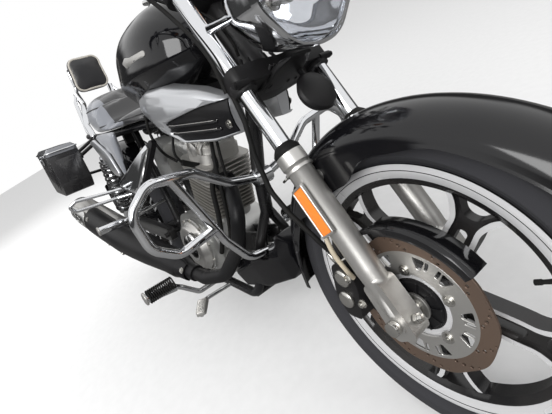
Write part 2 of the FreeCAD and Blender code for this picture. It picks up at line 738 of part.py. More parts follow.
def brake_caliper():
    """Two-piston caliper behind the right leg, slotted over the disc."""
    body = slab(same_share([(574, 372), (566, 300), (586, 262), (620, 262), (628, 330), (616, 384)], 0.25),
                side_view(-94), Y * 56)
    bridge = slab(same_share([(616, 372), (624, 268), (690, 288), (700, 320), (696, 350)], 0.2),
                  side_view(-FORK_SPREAD + SLIDER_RADIUS + GAP), Y * 9)
    slot = turned_wheelwise([(0, DISC_SIDE - 6), (DISC_RADIUS + 6, DISC_SIDE - 6),
                             (DISC_RADIUS + 6, DISC_SIDE + 7), (0, DISC_SIDE + 7)], FRONT_AXLE)
    collar = rod(FRONT_AXLE - Y * 100, FRONT_AXLE, 16)
    return fused([body, bridge]).cut(slot).cut(collar)


def disc_guard():
    """Channel-shaped guard over the top front of the disc."""
    inner = DISC_RADIUS + 12
    outer = DISC_RADIUS + 30
    section = [(inner, -80), (outer - 4, -82), (outer, -76), (outer, -44), (outer - 4, -44),
               (outer - 4, -76), (inner, -76)]
    guard = turned_wheelwise(section, FRONT_AXLE, 41, 63)
    tongue = [(inner + 6, -80), (inner + 14, -80), (inner + 14, -70), (inner + 6, -70)]
    tab = turned_wheelwise(tongue, FRONT_AXLE, 98, 20)
    leg = rod(fork(0, 0, -FORK_SPREAD), fork(400, 0, -FORK_SPREAD), SLIDER_RADIUS + GAP)
    return fused([guard, tab]).cut(leg)


def brake_hose():
    """Hose from the caliper up behind the right leg to the lower clamp."""
    points = [V(600, -84, 374), V(576, -106, 430), V(532, -118, 487), V(502, -121, 530),
              V(488, -120, 600), V(484, -114, 660), fork(LOWER_CLAMP - GAP, -10, -112)]
    return bent_rod(points, 5, 60).cut(brake_caliper()).cut(fork_clamps())


def front_indicators():
    """Turn lamps on short stems clamped to the rising parts of the bar."""
    run = unit(BAR_KNEE - BAR_BEND)
    middle = (BAR_BEND + BAR_KNEE) * 0.5
    back = middle + V(40, -14, 0)
    clamp = rod(middle - run * 11, middle + run * 11, BAR_RADIUS + 6)
    stem = rod(middle, back + X * 3, 6)
    lamp = turned_along([(0, 0), (0, 16), (10, 24), (40, 27), (52, 20), (56, 0)], back, X)
    bore = rod(BAR_BEND, BAR_KNEE, BAR_RADIUS + GAP)
    return both_sides(fused([clamp, stem, lamp]).cut(bore))


# Frame and running gear

def downtube():
    """Front tube from the head down to the cradle."""
    return bent_rod([V(393, 0, 770), V(290, 0, 520), V(262, 0, 392)], DOWNTUBE_RADIUS, 150)


def cradle_path():
    """Right-hand cradle tube: under the engine and up to the seat rails."""
    side = -RAIL_SIDE
    return [V(268, 0, 416), V(252, -44, 330), V(205, side, RAIL_HEIGHT), V(-196, side, RAIL_HEIGHT),
            V(-262, -PIVOT_SIDE, 244), V(-290, -PIVOT_SIDE, 330), V(-345, -PIVOT_SIDE, SEAT_RAIL_HEIGHT)]


def frame():
    """Tubular frame: head, spine, downtube, cradle, seat rails and brackets."""
    axis = -STEERING_OFFSET
    head = rod(fork(HEAD_LOW, axis), fork(HEAD_HIGH, axis), HEAD_TUBE_RADIUS)
    bore = rod(fork(HEAD_LOW - 40, axis), fork(HEAD_HIGH + 40, axis), HEAD_BORE)
    spine = bent_rod([V(388, 0, 790), V(270, 0, 696), V(-150, 0, 680), V(-345, 0, 668)],
                     SPINE_RADIUS, 120)
    cradle = bent_rod(cradle_path(), RAIL_RADIUS, 50)
    seat_rail = bent_rod([V(-60, -10, 684), V(-230, -64, SEAT_RAIL_HEIGHT), V(-600, -96, SEAT_RAIL_HEIGHT),
                          V(-850, -92, SEAT_RAIL_HEIGHT + 12)], SEAT_RAIL_RADIUS, 150)
    right = [cradle, seat_rail, pivot_lug(), shock_mount(), bag_bracket(-620), bag_bracket(-780)]
    cross = [rod(V(x, -side, z), V(x, side, z), 11)
             for x, side, z in ((-345, 78, SEAT_RAIL_HEIGHT), (-600, 96, SEAT_RAIL_HEIGHT),
                                (-196, RAIL_SIDE, RAIL_HEIGHT), (-110, RAIL_SIDE, RAIL_HEIGHT),
                                (190, RAIL_SIDE, RAIL_HEIGHT))]
    engine_mounts = [slab(same_share([(258, 352), (246, 296), (104, 268), (104, 330)], 0.2),
                          side_view(side - 3), Y * 6).cut(crankcase()) for side in (-24, 24)]
    engine_mounts.append(block(V(-124, -30, RAIL_HEIGHT), V(-96, 30, CASE_FLOOR - GAP)))
    fender_tab = block(V(-612, -20, fender_top(-612) + GAP), V(-588, 20, SEAT_RAIL_HEIGHT))
    pieces = [head, spine, downtube()] + right + [mirrored(piece) for piece in right]
    tank_pads = [block(V(x - 14, -22, 676), V(x + 14, 22, 752)).cut(fuel_tank()) for x in (-120, 200)]
    pieces += cross + engine_mounts + tank_pads + [fender_tab, stand_bracket()]
    hole = rod(V(PIVOT.x, -120, PIVOT.z), V(PIVOT.x, 120, PIVOT.z), PIVOT_BOLT_RADIUS + GAP)
    return fused(pieces).cut(bore).cut(hole)


def pivot_lug():
    """Bored lug for the swingarm's bolt."""
    return rod(V(PIVOT.x, -PIVOT_SIDE + 14, PIVOT.z), V(PIVOT.x, -PIVOT_SIDE - 14, PIVOT.z), 24)


def fender_top(station):
    """Height of the rear fender's crown at a station along the bike."""
    return REAR_AXLE.z + math.sqrt(REAR_FENDER_RADIUS ** 2 - (station - REAR_AXLE.x) ** 2)


def swingarm():
    """Rear fork on its pivot bolt, with slotted ends for the axle."""
    side = (SWINGARM_INNER + SWINGARM_OUTER) / 2
    thickness = SWINGARM_OUTER - SWINGARM_INNER
    low = REAR_AXLE.z - 24
    arm = slab(same_share([(PIVOT.x + 24, PIVOT.z - 24), (PIVOT.x + 24, PIVOT.z + 24),
                           (-560, REAR_AXLE.z + 28), (REAR_AXLE.x - 34, low + 46),
                           (REAR_AXLE.x - 34, low), (-560, REAR_AXLE.z - 26)], 0.3),
               side_view(-SWINGARM_OUTER), Y * thickness)
    bolt = rod(V(PIVOT.x, -SWINGARM_OUTER - 12, PIVOT.z), V(PIVOT.x, SWINGARM_OUTER + 12, PIVOT.z),
               PIVOT_BOLT_RADIUS)
    bridge = rod(V(-345, -side, 300), V(-345, side, 300), 22)
    stud = rod(V(-660, -SWINGARM_OUTER + 4, 318), V(-660, -SHOCK_SIDE - 14, 318), 7)
    hole = rod(REAR_AXLE - Y * 200, REAR_AXLE + Y * 200, AXLE_RADIUS)
    return fused([arm, mirrored(arm), bolt, bridge, stud, mirrored(stud), chain_guard()]).cut(hole)


def rear_shocks():
    """Coil-over shocks between the swingarm and the seat rails."""
    low = V(-660, -SHOCK_SIDE, 318)
    high = V(-530, -SHOCK_SIDE, 652)
    run = high - low
    length = run.Length
    coils = 9
    first = 70.0
    pitch = (length - 120) / coils
    profile = [(16, 0), (16, 16), (60, 16), (60, 27), (first, 27)]
    for i in range(coils):
        along = first + i * pitch
        profile += [(along, 20), (along + pitch * 0.25, 26), (along + pitch * 0.6, 26),
                    (along + pitch * 0.85, 20)]
    end = first + coils * pitch
    profile += [(end, 27), (end + 12, 27), (end + 12, 15), (length - 15, 15), (length - 15, 0)]
    body = turned_along(profile, low, run)
    eyes = [rod(point - Y * 11, point + Y * 11, 17) for point in (low, high)]
    holes = [rod(point - Y * 20, point + Y * 20, 7 + GAP) for point in (low, high)]
    return both_sides(fused([body] + eyes).cut(Part.makeCompound(holes)))


def shock_mount():
    """Upper shock stud on a plate under the seat rail."""
    plate = slab(same_share([(-560, 630), (-500, 630), (-505, 686), (-555, 686)], 0.25),
                 side_view(-102), Y * 12)
    stud = rod(V(-530, -96, 652), V(-530, -SHOCK_SIDE - 14, 652), 7)
    return fused([plate, stud])


def chain():
    """Endless chain as one loop of links round both sprockets."""
    small = V(FRONT_SPROCKET_CENTRE.x, CHAIN_SIDE, FRONT_SPROCKET_CENTRE.z)
    large = V(REAR_AXLE.x, CHAIN_SIDE, REAR_AXLE.z)

    def loop(extra, side):
        run = large - small
        distance = run.Length
        r_small = FRONT_SPROCKET_RADIUS + extra
        r_large = REAR_SPROCKET_RADIUS + extra
        lean = math.asin((r_large - r_small) / distance)
        back = unit(run)
        up = Z - back * back.z
        up = unit(up)
        top = up * math.cos(lean) - back * math.sin(lean)
        low = up * -math.cos(lean) - back * math.sin(lean)
        offset = Y * side
        a = small + top * r_small + offset
        b = large + top * r_large + offset
        c = large + low * r_large + offset
        d = small + low * r_small + offset
        edges = [Part.LineSegment(a, b).toShape(),
                 Part.Arc(b, large + back * r_large + offset, c).toShape(),
                 Part.LineSegment(c, d).toShape(),
                 Part.Arc(d, small - back * r_small + offset, a).toShape()]
        return Part.Face(Part.Wire(edges)).extrude(Y * CHAIN_WIDTH)

    side = -CHAIN_WIDTH / 2
    return loop(CHAIN_HEIGHT, side).cut(loop(CHAIN_PLAY, side))


def chain_guard():
    """Guard over the chain's upper run, on a stud from the swingarm."""
    bar = slab(same_share([(-300, 355), (-560, 384), (-650, 395), (-650, 407), (-560, 400),
                           (-300, 370)], 0.3), side_view(CHAIN_SIDE - 12), Y * 24)
    stud = rod(V(-440, SWINGARM_INNER + 8, 318), V(-440, CHAIN_SIDE + 8, 380), 6)
    return fused([bar, stud])


def side_stand():
    """Folding prop with its foot flat on the ground when the bike leans on it."""
    ground = V(0, -math.sin(math.radians(LEAN)), math.cos(math.radians(LEAN)))
    foot = V(STAND_FOOT.x, STAND_FOOT.y, ground_height(STAND_FOOT.y))
    pad = rod(foot, foot + ground * 7, 24)
    root = STAND_PIVOT + STAND_AXIS * 3
    leg = bent_rod([root, root + V(8, 34, -42), foot + ground * 5], 10, 60)
    eye = rod(STAND_PIVOT - STAND_AXIS * (STAND_EYE / 2), STAND_PIVOT + STAND_AXIS * (STAND_EYE / 2), 18)
    return fused([pad, leg, eye])


def ground_height(side):
    """Height of the leaned ground at a distance to the left, upright frame."""
    lean = math.radians(LEAN)
    drop = TYRE_CROWN * (1 - math.cos(lean))
    return (side * math.sin(lean) - drop) / math.cos(lean)


def stand_bracket():
    """Lug on the left cradle tube that carries the side stand."""
    near = STAND_PIVOT - STAND_AXIS * (STAND_EYE / 2 + GAP)
    lug = rod(near - STAND_AXIS * 12, near, 18)
    return fused([lug, rod(V(STAND_PIVOT.x, RAIL_SIDE, RAIL_HEIGHT), near - STAND_AXIS * 6, 9)])


# Engine and exhaust

def crankcase():
    """Engine cases with the gearbox behind and the cylinder seat on top."""
    outline = same_share([(-188, 232), (-196, 330), (-150, 384), (-30, 402), (84, 388), (130, 330),
                          (118, 240), (60, CASE_FLOOR), (-130, CASE_FLOOR)], 0.35)
    core = slab(outline, side_view(-CASE_HALF_WIDTH + 14), Y * (2 * CASE_HALF_WIDTH - 28))
    side_outline = same_share([(-170, 240), (-176, 322), (-120, 372), (-20, 384), (70, 366),
                               (110, 318), (98, 240), (40, 204), (-120, 204)], 0.35)
    right = slab(side_outline, side_view(-CASE_HALF_WIDTH), Y * 16)
    seat = slab(same_share([(-62, -58), (62, -58), (62, 58), (-62, 58)], 0.25),
                plane(engine(30), CYLINDER_AHEAD, Y), CYLINDER_UP * 46)
    notch = block(V(-260, 62, 180), V(-132, 82, 420))
    hub = FRONT_SPROCKET_CENTRE + Y * (CHAIN_SIDE - 10)
    sprocket = rod(hub, hub + Y * 15, FRONT_SPROCKET_RADIUS + CHAIN_PLAY - GAP)
    cases = fused([core, right, mirrored(right), seat]).cut(notch)
    return fused([cases, sprocket])


def engine_covers():
    """Clutch cover on the right, generator and sprocket covers on the left."""
    return Part.makeCompound([clutch_cover(), generator_cover(), sprocket_cover()])


def clutch_cover():
    """Round right-hand cover with a raised ring."""
    centre = V(-36, -CASE_HALF_WIDTH - GAP, 300)
    profile = [(0, 0), (0, 84), (12, 84), (18, 78), (30, 70), (33, 60), (33, 44), (29, 40), (29, 0)]
    return turned_along(profile, centre, -Y)


def generator_cover():
    """Round left-hand cover over the generator."""
    centre = V(-8, CASE_HALF_WIDTH + GAP, 296)
    profile = [(0, 0), (0, 74), (14, 74), (24, 66), (30, 50), (30, 0)]
    return turned_along(profile, centre, Y)


def sprocket_cover():
    """Left rear cover over the front sprocket."""
    outline = same_share([(-228, 250), (-228, 330), (-170, 352), (-104, 336), (-98, 300),
                          (-104, 256), (-160, 244)], 0.35)
    return slab(outline, side_view(CASE_HALF_WIDTH + GAP), Y * 16)


def cylinder():
    """Barrel with its stack of cooling fins."""
    barrel = rod(engine(76 + GAP), engine(HEAD_BASE), BARREL_RADIUS)
    pieces = [barrel]
    outline = same_share([(-74, -72), (74, -72), (74, 72), (-74, 72)], 0.2)
    for i in range(FIN_COUNT):
        place = plane(engine(82 + i * FIN_PITCH), CYLINDER_AHEAD, Y)
        pieces.append(slab(outline, place, CYLINDER_UP * FIN_THICKNESS))
    return fused(pieces)


def cylinder_head():
    """Finned head with ports and a rocker cover on top."""
    base = HEAD_BASE + GAP
    core = slab(same_share([(-58, -60), (58, -60), (58, 60), (-58, 60)], 0.25),
                plane(engine(base), CYLINDER_AHEAD, Y), CYLINDER_UP * 84)
    pieces = [core]
    outline = same_share([(-80, -76), (80, -76), (80, 76), (-80, 76)], 0.18)
    for i in range(5):
        place = plane(engine(base + 2 + i * (FIN_PITCH + 1)), CYLINDER_AHEAD, Y)
        pieces.append(slab(outline, place, CYLINDER_UP * FIN_THICKNESS))
    cover = loft([rounded(same_share([(-60 * k, -56 * k), (60 * k, -56 * k), (60 * k, 56 * k),
                                      (-60 * k, 56 * k)], 0.3),
                          plane(engine(base + rise), CYLINDER_AHEAD, Y))
                  for rise, k in ((78, 1.0), (100, 0.96), (112, 0.8))], True)
    intake = rod(INTAKE_ROOT, INTAKE_MOUTH, 20)
    exhaust = rod(EXHAUST_ROOT, EXHAUST_MOUTH, 24)
    return fused(pieces + [cover, intake, exhaust])


def carburettor():
    """Carburettor with its intake tube and air box."""
    back = unit(INTAKE_MOUTH - INTAKE_ROOT)
    start = INTAKE_MOUTH + back * GAP
    flange = rod(start, start + back * 26, 23)
    body = rod(start + back * 20, start + back * 80, 27)
    bowl = rod(start + back * 48 - Z * 60, start + back * 48 + Z * 44, 21)
    hose = rod(start + back * 76, start + back * 110, 24)
    end = start + back * 108
    box = slab(same_share([(end.x - 118, 470), (end.x, 500), (end.x, 640), (end.x - 118, 640)], 0.2),
               side_view(-62), Y * 124)
    return fused([flange, body, bowl, hose, box])


def exhaust_path():
    """Centre line of the header pipe from the head round to the muffler."""
    out = unit(EXHAUST_MOUTH - EXHAUST_ROOT)
    ahead = unit(MUFFLER_FRONT - MUFFLER_MIDDLE)
    return [EXHAUST_MOUTH + out * GAP, EXHAUST_MOUTH + out * 40, V(252, -76, 430),
            V(236, -98, 345), V(186, -140, 272), MUFFLER_FRONT + ahead * 45,
            MUFFLER_FRONT + ahead * GAP]


def exhaust_pipe():
    """Header pipe with a flange at the head."""
    path = exhaust_path()
    out = unit(path[1] - path[0])
    return fused([bent_rod(path, EXHAUST_RADIUS, 50), rod(path[0], path[0] + out * 9, 29)])


def muffler_front():
    """Black tapered first section with its clamp ring."""
    run = MUFFLER_MIDDLE - MUFFLER_FRONT
    length = run.Length
    profile = [(0, 0), (0, 24), (40, 26), (90, 40), (length - 60, 47), (length - 30, 47),
               (length - 30, 52), (length - GAP, 52), (length - GAP, 0)]
    return turned_along(profile, MUFFLER_FRONT, run)


def muffler():
    """Clamped front section and tapered silencer, two pieces end to end."""
    return Part.makeCompound([muffler_front(), silencer()])


def silencer():
    """Tapered silencer with an outlet at the back."""
    run = MUFFLER_REAR - MUFFLER_MIDDLE
    length = run.Length
    profile = [(0, 0), (0, 44), (24, 52), (80, 58), (length - 40, 56), (length - 8, 46),
               (length, 40), (length, 24), (length - 90, 24), (length - 90, 0)]
    return turned_along(profile, MUFFLER_MIDDLE, run)


# Tank, covers and fenders

def fuel_tank():
    """Teardrop tank with a crease along each side."""
    # station, half width, low height, high height
    rows = [(-200, 52, 754, 808), (-150, 88, 746, 872), (-20, 130, 734, 936), (120, 148, 732, 946),
            (220, 132, 744, 928), (278, 94, 776, 882), (299, 58, 800, 856)]

    def section(x, half, low, high):
        tall = high - low
        right = [(0.62, 0.0, 0.3), (1.0, 0.36, 0.16), (0.86, 0.78, 0.42), (0.42, 1.0, 0.42)]
        corners = [(half * a, low + tall * b, share) for a, b, share in right]
        corners += [(-a, b, share) for a, b, share in reversed(corners)]
        return rounded(corners, front_view(x))

    return loft([section(*row) for row in rows])


def tank_console():
    """Bright domed console along the top of the tank."""
    # station, half width, height above the table
    rows = [(24, 12, 6), (60, 34, 16), (130, 44, 24), (196, 34, 18), (222, 14, 6)]
    wires = []
    for x, half, rise in rows:
        corners = [(-half, 920, 0.2), (half, 920, 0.2), (half * 0.9, 938 + rise * 0.4, 0.4),
                   (half * 0.4, 944 + rise, 0.4), (-half * 0.4, 944 + rise, 0.4),
                   (-half * 0.9, 938 + rise * 0.4, 0.4)]
        wires.append(rounded(corners, front_view(x)))
    return loft(wires).cut(fuel_tank())


def shroud_pod(inset=0.0):
    """One side scoop under the tank's nose, its outer wall set in a little."""
    # station, inner side, outer side, low height, high height
    rows = [(36, 96, 126, 700, 764), (140, 96, 148, 664, 772), (236, 92, 148, 634, 766),
            (320, 62, 116, 624, 738), (386, 46, 88, 630, 706)]
    wires = []
    for x, inner, outer, low, high in rows:
        tall = high - low
        side = outer - inset
        corners = [(-inner, low, 0.2), (-inner, high, 0.2), (-side * 0.94, high, 0.35),
                   (-side, low + tall * 0.62, 0.3), (-side * 0.97, low + tall * 0.3, 0.3),
                   (-side * 0.88, low, 0.35)]
        wires.append(rounded(corners, front_view(x)))
    return loft(wires, True)


def grille_prism(margin):
    """Side outline of the scoop's opening as a deep prism."""
    # the opening's corners are drawn in by the margin
    middle = (300, 668)
    rows = [(196, 690), (320, 705), (410, 704), (410, 637), (330, 630), (232, 641), (192, 664)]
    share = 1 - margin / 80
    corners = [(middle[0] + (x - middle[0]) * share, middle[1] + (z - middle[1]) * share) for x, z in rows]
    return slab(same_share(corners, 0.3), side_view(-170), Y * 110)


def shrouds():
    """Side scoops under the tank, recessed for their grilles."""
    recess = grille_prism(0).cut(shroud_pod(GRILLE_DEPTH))
    return both_sides(shroud_pod().cut(fuel_tank()).cut(recess))


def shroud_grilles():
    """Dark inserts with two long ribs, open to the front, one each side."""
    layer = shroud_pod(4).cut(shroud_pod(GRILLE_DEPTH - GAP))
    field = shroud_pod(8).cut(shroud_pod(GRILLE_DEPTH - GAP))
    ribs = [slab(same_share([(180, z), (352, z - 18), (352, z - 13), (180, z + 5)], 0.2),
                 side_view(-170), Y * 110) for z in (668, 686)]
    prism = grille_prism(1)
    return both_sides(fused([field.common(prism)] + [layer.common(rib).common(prism) for rib in ribs]))


def three_point_plate(corners, rings, share):
    """A three-sided panel through three points, its outside away from the bike.

    rings are (distance outwards, scale of the outline) pairs.
    """
    first, second, third = corners
    across = unit(second - first)
    normal = unit(across.cross(third - first))
    if normal.y > 0:
        normal = normal * -1
    up = unit(normal.cross(across))
    reach = third - first
    flat = [(0, 0), ((second - first).Length, 0), (reach.dot(across), reach.dot(up))]
    middle = (sum(a for a, b in flat) / 3, sum(b for a, b in flat) / 3)
    wires = []
    for distance, scale in rings:
        rows = [(middle[0] + (a - middle[0]) * scale, middle[1] + (b - middle[1]) * scale)
                for a, b in flat]
        wires.append(rounded(same_share(rows, share), plane(first + normal * distance, across, up)))
    return loft(wires, True)


COVER_BACKING = 16
COVER_CORNERS = (V(-24, -112, 652), V(-272, -186, 533), V(-130, -176, 500))


def side_covers():
    """Bright three-sided covers ahead of the seat's side skirts."""
    return both_sides(three_point_plate(COVER_CORNERS, [(0, 1.0), (8, 1.0), (16, 0.82)], 0.16))


def seat_rail_side(station):
    """How far right the right seat rail's centre lies at a station."""
    share = (station + 230) / (-600 + 230)
    return -64 - share * 32


def side_panels():
    """Silver side panels under the seats with the dark inner panels behind them."""
    outline = same_share([(-280, 556), (-320, 640), (-440, 694), (-500, 688), (-420, 620),
                          (-350, 560)], 0.25)
    panel = slab(outline, side_view(SKIRT_SIDE - GAP), Y * -11)
    skirt_outline = same_share([(-200, 692), (-215, 600), (-240, 540), (-330, 520), (-360, 560),
                                (-470, 692)], 0.15)
    skirt = slab(skirt_outline, side_view(SKIRT_SIDE), Y * 8)
    backing = three_point_plate(COVER_CORNERS, [(-GAP - COVER_BACKING, 1.16), (-GAP, 1.16)], 0.16)
    posts = [rod(V(x, SKIRT_SIDE + 7, 686), V(x, seat_rail_side(x) - SEAT_RAIL_RADIUS - GAP, 686), 5)
             for x in (-260, -420)]
    return Part.makeCompound([both_sides(panel), both_sides(fused([skirt, backing] + posts))])


def rider_seat():
    """Scooped rider's cushion."""
    # station, half width, high height
    rows = [(-150, 76, 732), (-196, 98, 738), (-260, 134, 738), (-330, 160, 744), (-372, 158, 806),
            (-392, 146, 800)]
    return loft([cushion_section(x, half, SEAT_BASE, high) for x, half, high in rows])


def passenger_seat():
    """Raised passenger's cushion."""
    # station, half width, high height
    rows = [(-396, 142, 806), (-440, 146, 828), (-540, 138, 838), (-620, 118, 832), (-658, 84, 804)]
    return loft([cushion_section(x, half, SEAT_BASE, high) for x, half, high in rows])


def cushion_section(x, half, low, high):
    tall = high - low
    right = [(0.86, 0.0, 0.3), (1.0, 0.45, 0.4), (0.84, 0.88, 0.4), (0.4, 1.0, 0.4)]
    corners = [(half * a, low + tall * b, share) for a, b, share in right]
    corners += [(-a, b, share) for a, b, share in reversed(corners)]
    return rounded(corners, front_view(x))


def backrest_pad():
    """Upright cushion behind the passenger."""
    rows = [(-750, 60, 890, 1006), (-760, 74, 878, 1020), (-782, 76, 876, 1022),
            (BACKREST_BACK, 70, 882, 1016)]
    wires = []
    for x, half, low, high in rows:
        corners = same_share([(-half, low), (half, low), (half * 0.92, high), (-half * 0.92, high)], 0.25)
        wires.append(rounded(corners, front_view(x)))
    return loft(wires)


def backrest_frame():
    """Bent bar from the seat rails up round the back of the pad."""
    side = -96 - SEAT_RAIL_RADIUS - 7 - GAP
    right = [V(-640, side, 692), V(-720, side, 724), V(-778, -96, 850), V(-806, -62, 900),
             V(-806, -62, 996)]
    points = right + [flip(point) for point in reversed(right)]
    studs = [rod(V(-806, side * 62, z), V(BACKREST_BACK - GAP, side * 62, z), 5)
             for side in (-1, 1) for z in (915, 980)]
    return fused([bent_rod(points, 7, 30)] + studs)


def rear_fender():
    """Rear fender over the tyre, from the seat rails to the tail."""
    outer = REAR_FENDER_RADIUS
    edge = 74
    section = [(outer, -30), (outer, 30), (outer - 14, 60), (outer - 40, edge),
               (outer - 40, edge - SHEET), (outer - 16, 60 - SHEET), (outer - SHEET, 29),
               (outer - SHEET, -29), (outer - 16, -60 + SHEET), (outer - 40, -edge + SHEET),
               (outer - 40, -edge), (outer - 14, -60)]
    return fused([turned_wheelwise(section, REAR_AXLE, 52, 106), plate_holder()])


def rear_lamps():
    """Tail lamp and both rear turn lamps."""
    return Part.makeCompound([tail_lamp(), rear_indicators()])


def tail_lamp():
    """Wide tail lamp on the back of the rear fender."""
    centre = polar(REAR_AXLE, REAR_FENDER_RADIUS + GAP, 134)
    out = unit(centre - REAR_AXLE)
    along = unit(out.cross(Y))
    place = lambda depth: plane(centre + out * depth, Y, along)
    wires = [rounded(same_share([(-52 * k, -30 * k), (52 * k, -30 * k), (46 * k, 30 * k),
                                 (-46 * k, 30 * k)], 0.3), place(depth))
             for depth, k in ((0, 1.0), (22, 1.0), (34, 0.8))]
    return loft(wires, True)


def rear_indicators():
    """Turn lamps on stems beside the tail lamp."""
    foot = polar(REAR_AXLE, REAR_FENDER_RADIUS - 39, 128, -74 - GAP)
    stem = rod(foot, foot + V(-4, -86, 6), 7)
    lamp = turned_along([(0, 0), (0, 20), (12, 27), (42, 24), (52, 16), (56, 0)],
                        foot + V(26, -104, 6), -X)
    return both_sides(fused([stem, lamp, rod(foot + V(-4, -80, 6), foot + V(-4, -100, 6), 7)]))


def plate_holder():
    """Bracket and blank plate below the tail lamp."""
    top = polar(REAR_AXLE, REAR_FENDER_RADIUS - 2, 152) + V(-34, 0, 0)
    up = unit(V(-0.25, 0, 1))
    back = unit(V(-1, 0, -0.25))
    plate = slab(same_share([(-88, -150), (88, -150), (88, -10), (-88, -10)], 0.08),
                 plane(top, Y, up), back * 4)
    arm = rod(top - up * 34 - back * 34, top - up * 34 + back * 2, 12)
    return fused([plate, arm])


def engine_guard():
    """Bent crash bars either side of the downtube."""
    x = GUARD_STATION
    upper = [V(x, -8, 503), V(x, -90, 524), V(x, -168, 582), V(x, -268, 596), V(x, -322, 552),
             V(x, -312, 470), V(x, -262, 430), V(x, -166, 443)]
    lower = [V(x, -220, 590), V(x, -186, 500), V(x, -152, 404), V(x, -110, 334), V(x, -36, 322)]
    right = fused([bent_rod(upper, GUARD_RADIUS, 45), bent_rod(lower, GUARD_RADIUS - 0.6, 45)])
    clamp_high = rod(V(x - 4, -22, 503), V(x - 4, 22, 503), 21)
    clamp_low = rod(V(x, -44, 322), V(x, 44, 322), GUARD_RADIUS + 2.5)
    return fused([right, mirrored(right), clamp_high, clamp_low]).cut(downtube())


def foot_rest(path, tip, radius):
    """A peg: a bent bar from the frame and the round sleeve at its end."""
    return fused([bent_rod(path, 8, 20), rod(path[-1], tip, radius)])


def foot_controls():
    """Rider's and passenger's pegs, brake pedal and gear lever."""
    rider = foot_rest([V(-10, -RAIL_SIDE - RAIL_RADIUS - GAP, RAIL_HEIGHT), V(-10, -165, 172),
                       V(-10, -208, 216), V(-10, -226, 230)], V(-10, -318, 246), 14)
    passenger = foot_rest([V(-304, -PIVOT_SIDE - RAIL_RADIUS - GAP, 416), V(-304, -150, 412),
                           V(-302, -222, 408)], V(-300, -308, 416), 14)
    lever = bent_rod([V(60, -RAIL_SIDE - RAIL_RADIUS - GAP, RAIL_HEIGHT), V(60, -180, 176),
                      V(130, -214, 200), V(176, -240, 206)], 6, 25)
    return Part.makeCompound([both_sides(piece) for piece in (rider, passenger, lever)])


def belly_pan():
    """Pointed chin fairing round the lower frame, hollow and open above."""
    # station, half width at the top, half width at the bottom, low, high
    rows = [(176, 104, 84, 198, 300), (260, 92, 70, 208, 372), (340, 60, 40, 236, 366),
            (358, 30, 22, 262, 340)]

    def section(x, top, bottom, low, high, wall):
        corners = same_share([(-bottom + wall, low + wall), (bottom - wall, low + wall),
                              (top - wall, low + (high - low) * 0.55), (top * 0.8 - wall, high),
                              (-top * 0.8 + wall, high), (-top + wall, low + (high - low) * 0.55)], 0.15)
        return rounded(corners, front_view(x))

    outer = loft([section(*row, 0) for row in rows], True)
    inner_rows = [(170, 104, 84, 198, 400), (260, 92, 70, 208, 480), (334, 60, 40, 236, 480)]
    inner = loft([section(*row, SHEET) for row in inner_rows], True)
    clear = [bent_rod(exhaust_path()[1:], EXHAUST_RADIUS + RUNNING_GAP, 50),
             bent_rod(cradle_path(), RAIL_RADIUS + GAP, 50),
             rod(V(GUARD_STATION, -120, 322), V(GUARD_STATION, 120, 322), GUARD_RADIUS + 5),
             block(V(GUARD_STATION - GUARD_RADIUS - 5, -140, 322),
                   V(GUARD_STATION + GUARD_RADIUS + 5, 140, 400))]
    clear.append(mirrored(clear[1]))
    return outer.cut(inner).cut(Part.makeCompound(clear))


# Saddlebags

def bag_outline(inset):
    """Side view of a saddlebag, shrunk by a wall."""
    return [(BAG_FRONT - inset, BAG_RIM, 0.02), (BAG_FRONT + 14 - inset, BAG_LOW + 40 + inset, 0.3),
            (BAG_FRONT - 16 - inset, BAG_LOW + inset, 0.3), (BAG_REAR + 26 + inset, BAG_LOW + inset, 0.3),
            (BAG_REAR + inset, BAG_LOW + 40 + inset, 0.3), (BAG_REAR + inset, BAG_RIM, 0.02)]


def bag_right():
    """Open hard case with an even wall, closed by its lid."""
    depth = BAG_OUTER_SIDE - BAG_INNER_SIDE
    shell = slab(bag_outline(0), side_view(-BAG_OUTER_SIDE), Y * depth)
    hollow = slab(bag_outline(BAG_WALL), side_view(-BAG_OUTER_SIDE + BAG_WALL),
                  Y * (depth - 2 * BAG_WALL))
    return shell.cut(hollow)


def bag_left():
    return mirrored(bag_right())


def lid_right():
    """Domed lid that closes the right saddlebag."""
    base = BAG_RIM + 1
    middle_x = (BAG_FRONT + BAG_REAR) / 2
    middle_y = -(BAG_INNER_SIDE + BAG_OUTER_SIDE) / 2
    half_x = (BAG_FRONT - BAG_REAR) / 2 + 2
    half_y = (BAG_OUTER_SIDE - BAG_INNER_SIDE) / 2 + 2

    def ring(height, shrink, drop=0.0):
        a = half_x - shrink
        b = half_y - shrink
        rows = same_share([(middle_x - a, middle_y - b), (middle_x + a, middle_y - b),
                           (middle_x + a, middle_y + b), (middle_x - a, middle_y + b)], 0.15)
        return rounded(rows, plane(Z * height, X, Y))

    outer = loft([ring(base, 0), ring(base + 14, 0), ring(base + LID_HEIGHT, 12)], True)
    inner = loft([ring(base - 1, BAG_WALL + 2), ring(base + 12, BAG_WALL + 2),
                  ring(base + LID_HEIGHT - BAG_WALL, 16)], True)
    barrels = [rod(V(x - 16, -HINGE_SIDE, HINGE_HEIGHT), V(x + 16, -HINGE_SIDE, HINGE_HEIGHT),
                   HINGE_RADIUS) for x in (BAG_FRONT - 60, BAG_REAR + 60)]
    return fused([outer.cut(inner)] + barrels)


def lid_left():
    return mirrored(lid_right())


def bag_bracket(station):
    """Arm from the seat rail to the saddlebag's inner wall."""
    outer = V(station, -BAG_INNER_SIDE + GAP, BAG_RIM - 34)
    return fused([rod(V(station, -96, SEAT_RAIL_HEIGHT), outer + Y * 12, 7),
                  rod(outer + Y * 16, outer, 12)])


